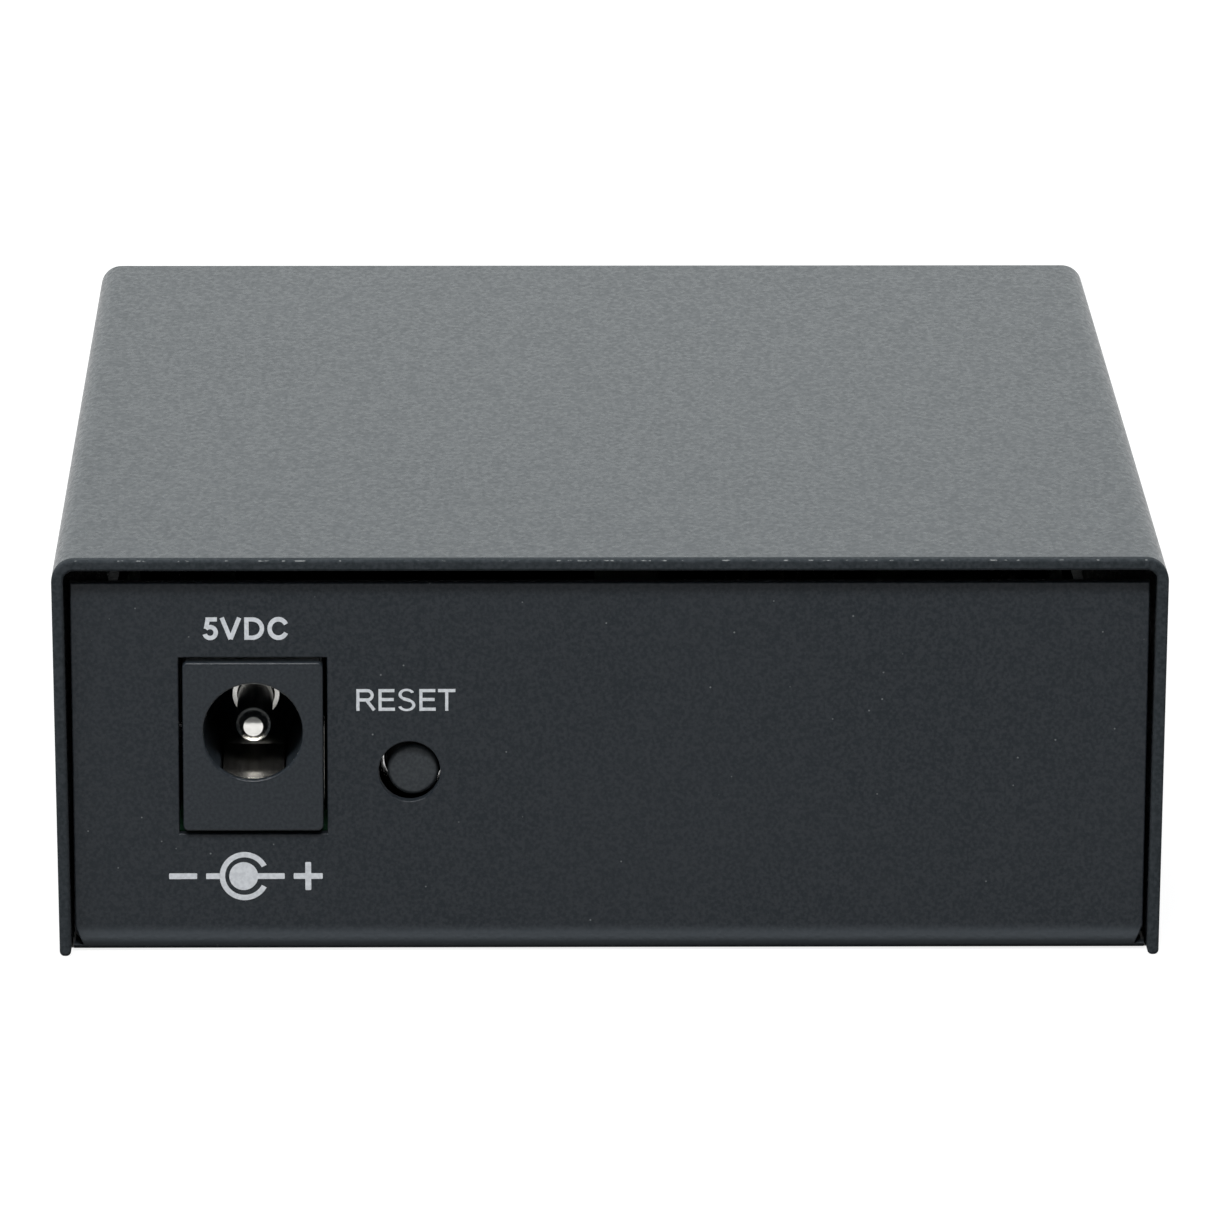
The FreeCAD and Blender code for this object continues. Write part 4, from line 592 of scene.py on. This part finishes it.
# %% [markdown]
# ## Printed marks
# The rear panel carries plain screen-printed marks: the jack's voltage, the sign of its poles and the
# name of the button. Screen ink is a film a hundredth of a millimetre thick, so each mark is a very
# thin solid on the panel. A font would be quicker, but its letters would not be those of the real
# print. So each letter is drawn like a draughtsman's: straight strokes are extruded from a plane, and
# curved ones are spun. The dot is extruded from a circle, and the open ring is spun.

# %% Ink
INK_FILM = 0.01 * MM
ink, tree, shader = finish("print_ink", Roughness=0.5, IOR=1.4)
where = place_of(tree)
set_colour(tree, shader, mottle(tree, where, 4200.0, (0.60, 0.62, 0.65), (0.72, 0.74, 0.77)))
relief(tree, shader, noise_of(tree, where, GRAIN * 0.8, 2.0), PEEL * 0.4)


def settle(piece, name):
    """Apply the piece's place, face its faces outwards, and print it in ink on the converter."""
    bpy.ops.object.select_all(action="DESELECT")
    piece.select_set(True)
    bpy.context.view_layer.objects.active = piece
    bpy.ops.object.transform_apply(location=True, rotation=True, scale=True)
    bpy.ops.object.mode_set(mode="EDIT")
    bpy.ops.mesh.select_all(action="SELECT")
    bpy.ops.mesh.remove_doubles(threshold=MERGE)
    bpy.ops.mesh.normals_make_consistent(inside=False)
    bpy.ops.object.mode_set(mode="OBJECT")
    piece.name = piece.data.name = name
    piece.data.materials.clear()
    piece.data.materials.append(ink)
    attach(piece, "converter")
    print(name, "has", len(piece.data.polygons), "faces")


# %% Strokes of a letter
SPIN_STEP = 6
FILM_STEP = 0.12
THICK_FILM = 1.3


def thicken(film):
    """In edit mode, turn the selected flat face on the panel into a film of ink."""
    bpy.ops.mesh.extrude_region_move(TRANSFORM_OT_translate={"value": (0, -film, 0)})
    bpy.ops.object.mode_set(mode="OBJECT")


def straight(start, end, width, film):
    """A straight stroke between two points (x, z) of its middle line."""
    run, rise = end[0] - start[0], end[1] - start[1]
    bpy.ops.object.select_all(action="DESELECT")
    bpy.ops.mesh.primitive_plane_add(size=1.0, rotation=(FACE_REAR, 0, 0))
    made = bpy.context.object
    made.scale = (math.hypot(run, rise), width, 1.0)
    bpy.ops.object.transform_apply(location=True, rotation=True, scale=True)
    made.rotation_euler.y = -math.atan2(rise, run)
    made.location = ((start[0] + end[0]) / 2, PANEL_Y, (start[1] + end[1]) / 2)
    bpy.ops.object.transform_apply(location=True, rotation=True, scale=True)
    bpy.ops.object.mode_set(mode="EDIT")
    bpy.ops.mesh.select_all(action="SELECT")
    thicken(film)
    return made


def curved(middle, across, up, width, start, sweep, film):
    """A curved stroke: its end, spun anticlockwise from the start angle, then stretched to an oval."""
    bpy.ops.object.select_all(action="DESELECT")
    bpy.ops.mesh.primitive_plane_add(size=1.0, location=(across - width / 2, 0, 0))
    made = bpy.context.object
    made.scale = (width, film, 1.0)
    bpy.ops.object.transform_apply(location=True, rotation=True, scale=True)
    made.rotation_euler.y = -start
    bpy.ops.object.transform_apply(location=True, rotation=True, scale=True)
    bpy.ops.object.mode_set(mode="EDIT")
    bpy.ops.mesh.select_all(action="SELECT")
    bpy.ops.mesh.spin(steps=max(8, round(math.degrees(sweep) / SPIN_STEP)), angle=sweep,
                      center=(0, 0, 0), axis=(0, 1, 0))
    bpy.ops.object.mode_set(mode="OBJECT")
    made.scale.z = up / across
    made.location = (middle[0], PANEL_Y - film / 2, middle[1])
    bpy.ops.object.transform_apply(location=True, rotation=True, scale=True)
    return made


# %% Shapes of the letters
def upright(x):
    return "line", (x, 0.0), (x, 1.0)


def shelf(left, right, z):
    return "line", (left, z), (right, z)


def strokes_of(letter, wide, pen):
    """Middle lines of a plain sans letter, one unit high; oval strokes give their outer radii."""
    half, mid = pen / 2, wide / 2
    if letter == "E":
        return [upright(half), shelf(0, wide - 0.02, 1 - half), shelf(0, wide - 0.05, 0.52),
                shelf(0, wide, half)]
    if letter == "T":
        return [upright(mid), shelf(0, wide, 1 - half)]
    if letter == "R":
        bowl = wide * 0.90 - 0.285
        return [upright(half), shelf(0, bowl, 1 - half), shelf(0, bowl, 0.43 + half),
                ("oval", (bowl, 0.715), 0.285, 0.285, -90, 180),
                ("line", (wide * 0.52, 0.43 + half), (wide - half * 0.9, 0.03))]
    if letter == "S":
        return [("oval", (mid, 0.75), mid - 0.03, 0.265, 22, 223),
                ("line", (mid - 0.15, 0.562), (mid + 0.16, 0.468)),
                ("oval", (mid, 0.265), mid, 0.28, 197, 228)]
    if letter == "V":
        return [("line", (half, 0.985), (mid, 0.03)), ("line", (wide - half, 0.985), (mid, 0.03))]
    if letter == "D":
        bowl = wide * 0.42
        return [upright(half), shelf(0, bowl, 1 - half), shelf(0, bowl, half),
                ("oval", (bowl, 0.5), wide - bowl, 0.5, -90, 180)]
    if letter == "C":
        return [("oval", (wide * 0.52, 0.5), wide * 0.52, 0.515, 28, 304)]
    return [shelf(0.14, wide - 0.04, 1 - half), ("line", (0.14 + half, 1 - half), (0.06 + half, 0.49)),
            ("oval", (mid, 0.325), mid, 0.34, 198, 302)]


# %% Words
def word(name, letters, pen, middle, low, width, height):
    """A printed word: its letters with their left and right ends, its middle in X and its foot in Z."""
    reach = letters[-1][2]
    left = middle - width / 2
    unit, stretch = height, width / (reach * height)
    parts = []
    for letter, start, end in letters:
        for turn, (kind, first, *rest) in enumerate(strokes_of(letter, end - start, pen)):
            film = INK_FILM * (1 + FILM_STEP * turn)
            at = ((start + first[0]) * unit, first[1] * unit)
            if kind == "line":
                to = ((start + rest[0][0]) * unit, rest[0][1] * unit)
                parts.append(straight(at, to, pen * unit, film))
            else:
                across, up, begin, sweep = rest
                parts.append(curved(at, across * unit, up * unit, pen * unit,
                                    math.radians(begin), math.radians(sweep), film))
    bpy.ops.object.select_all(action="DESELECT")
    for part in parts:
        part.select_set(True)
    bpy.context.view_layer.objects.active = parts[0]
    bpy.ops.object.join()
    parts[0].scale.x = stretch
    parts[0].location = (left, 0, low)
    settle(parts[0], name)


word("voltage_mark",
     [("5", 0.0, 0.657), ("V", 0.725, 1.641), ("D", 1.758, 2.591), ("C", 2.728, 3.606)], 0.185,
     jack_middle - 0.455 * MM, jack_high.z + 1.47 * MM, 5.63 * MM, 1.51 * MM)
word("reset_mark", [("R", 0.0, 0.881), ("E", 1.009, 1.759), ("S", 1.893, 2.689), ("E", 2.872, 3.622),
                    ("T", 3.726, 4.519)], 0.145,
     button_middle.x - 0.465 * MM, button_middle.z + 4.11 * MM, 6.49 * MM, 1.47 * MM)

# %% Bars, dot and open ring of the polarity mark
POLARITY_Z = jack_low.z - 3.15 * MM
RING_X = jack_middle - 0.61 * MM
RING_OUTER, RING_STROKE = 1.64 * MM, 0.36 * MM
RING_OPEN = math.radians(28)
DOT_RADIUS = 0.95 * MM
STROKE = 0.39 * MM
CORNER = 0.06 * MM


def bar(left, right, low, high, film=INK_FILM):
    """A printed bar with softened corners. Bars that cross have films of different thickness."""
    bpy.ops.object.select_all(action="DESELECT")
    bpy.ops.mesh.primitive_plane_add(size=1.0, rotation=(FACE_REAR, 0, 0),
                                     location=((left + right) / 2, PANEL_Y, (low + high) / 2))
    made = bpy.context.object
    made.scale = (right - left, high - low, 1.0)
    bpy.ops.object.transform_apply(location=True, rotation=True, scale=True)
    bpy.ops.object.mode_set(mode="EDIT")
    bpy.ops.mesh.select_all(action="SELECT")
    bpy.ops.mesh.bevel(offset=CORNER, segments=3, affect="VERTICES")
    bpy.ops.mesh.select_all(action="SELECT")
    thicken(film)
    return made


def dot(middle, radius):
    """A printed disc."""
    bpy.ops.object.select_all(action="DESELECT")
    bpy.ops.mesh.primitive_circle_add(vertices=64, radius=radius, fill_type="NGON",
                                      rotation=(FACE_REAR, 0, 0), location=(middle, PANEL_Y, POLARITY_Z))
    bpy.ops.object.transform_apply(location=True, rotation=True, scale=True)
    bpy.ops.object.mode_set(mode="EDIT")
    bpy.ops.mesh.select_all(action="SELECT")
    thicken(INK_FILM * THICK_FILM)
    return bpy.context.object


def open_ring(middle, radius, stroke, gap):
    """A printed ring that is open on its right: the end of its stroke, spun round the middle."""
    bpy.ops.object.select_all(action="DESELECT")
    bpy.ops.mesh.primitive_plane_add(size=1.0, location=(radius - stroke / 2, 0, 0))
    made = bpy.context.object
    made.scale = (stroke, INK_FILM, 1.0)
    bpy.ops.object.transform_apply(location=True, rotation=True, scale=True)
    made.rotation_euler.y = -gap
    bpy.ops.object.transform_apply(location=True, rotation=True, scale=True)
    bpy.ops.object.mode_set(mode="EDIT")
    bpy.ops.mesh.select_all(action="SELECT")
    bpy.ops.mesh.spin(steps=56, angle=2 * (math.pi - gap), center=(0, 0, 0), axis=(0, 1, 0))
    bpy.ops.object.mode_set(mode="OBJECT")
    made.location = (middle, PANEL_Y - INK_FILM / 2, POLARITY_Z)
    bpy.ops.object.transform_apply(location=True, rotation=True, scale=True)
    return made


print("polarity mark at z", round(POLARITY_Z / MM, 2), "ring at x", round(RING_X / MM, 2))

# %% Put the polarity mark together
def level_bar(left, right):
    """A bar in line with the jack's pole sign; left and right are measured from the jack's middle."""
    return bar(jack_middle + left * MM, jack_middle + right * MM,
               POLARITY_Z - STROKE / 2, POLARITY_Z + STROKE / 2)


PLUS_MIDDLE, PLUS_HALF = 3.575, 0.955
ring_left = (RING_X - RING_OUTER - jack_middle) / MM
dot_right = (RING_X + DOT_RADIUS - jack_middle) / MM
plus_x = jack_middle + PLUS_MIDDLE * MM
parts = [
    level_bar(-5.57, -3.73),
    level_bar(-3.14, ring_left + 0.02),
    open_ring(RING_X, RING_OUTER, RING_STROKE, RING_OPEN),
    dot(RING_X - 0.06 * MM, DOT_RADIUS),
    level_bar(dot_right - 0.15, 2.03),
    level_bar(PLUS_MIDDLE - PLUS_HALF, PLUS_MIDDLE + PLUS_HALF),
    bar(plus_x - STROKE / 2, plus_x + STROKE / 2, POLARITY_Z - PLUS_HALF * MM, POLARITY_Z + PLUS_HALF * MM,
        INK_FILM * THICK_FILM),
]
bpy.ops.object.select_all(action="DESELECT")
for part in parts:
    part.select_set(True)
bpy.context.view_layer.objects.active = parts[0]
bpy.ops.object.join()
settle(parts[0], "polarity_mark")
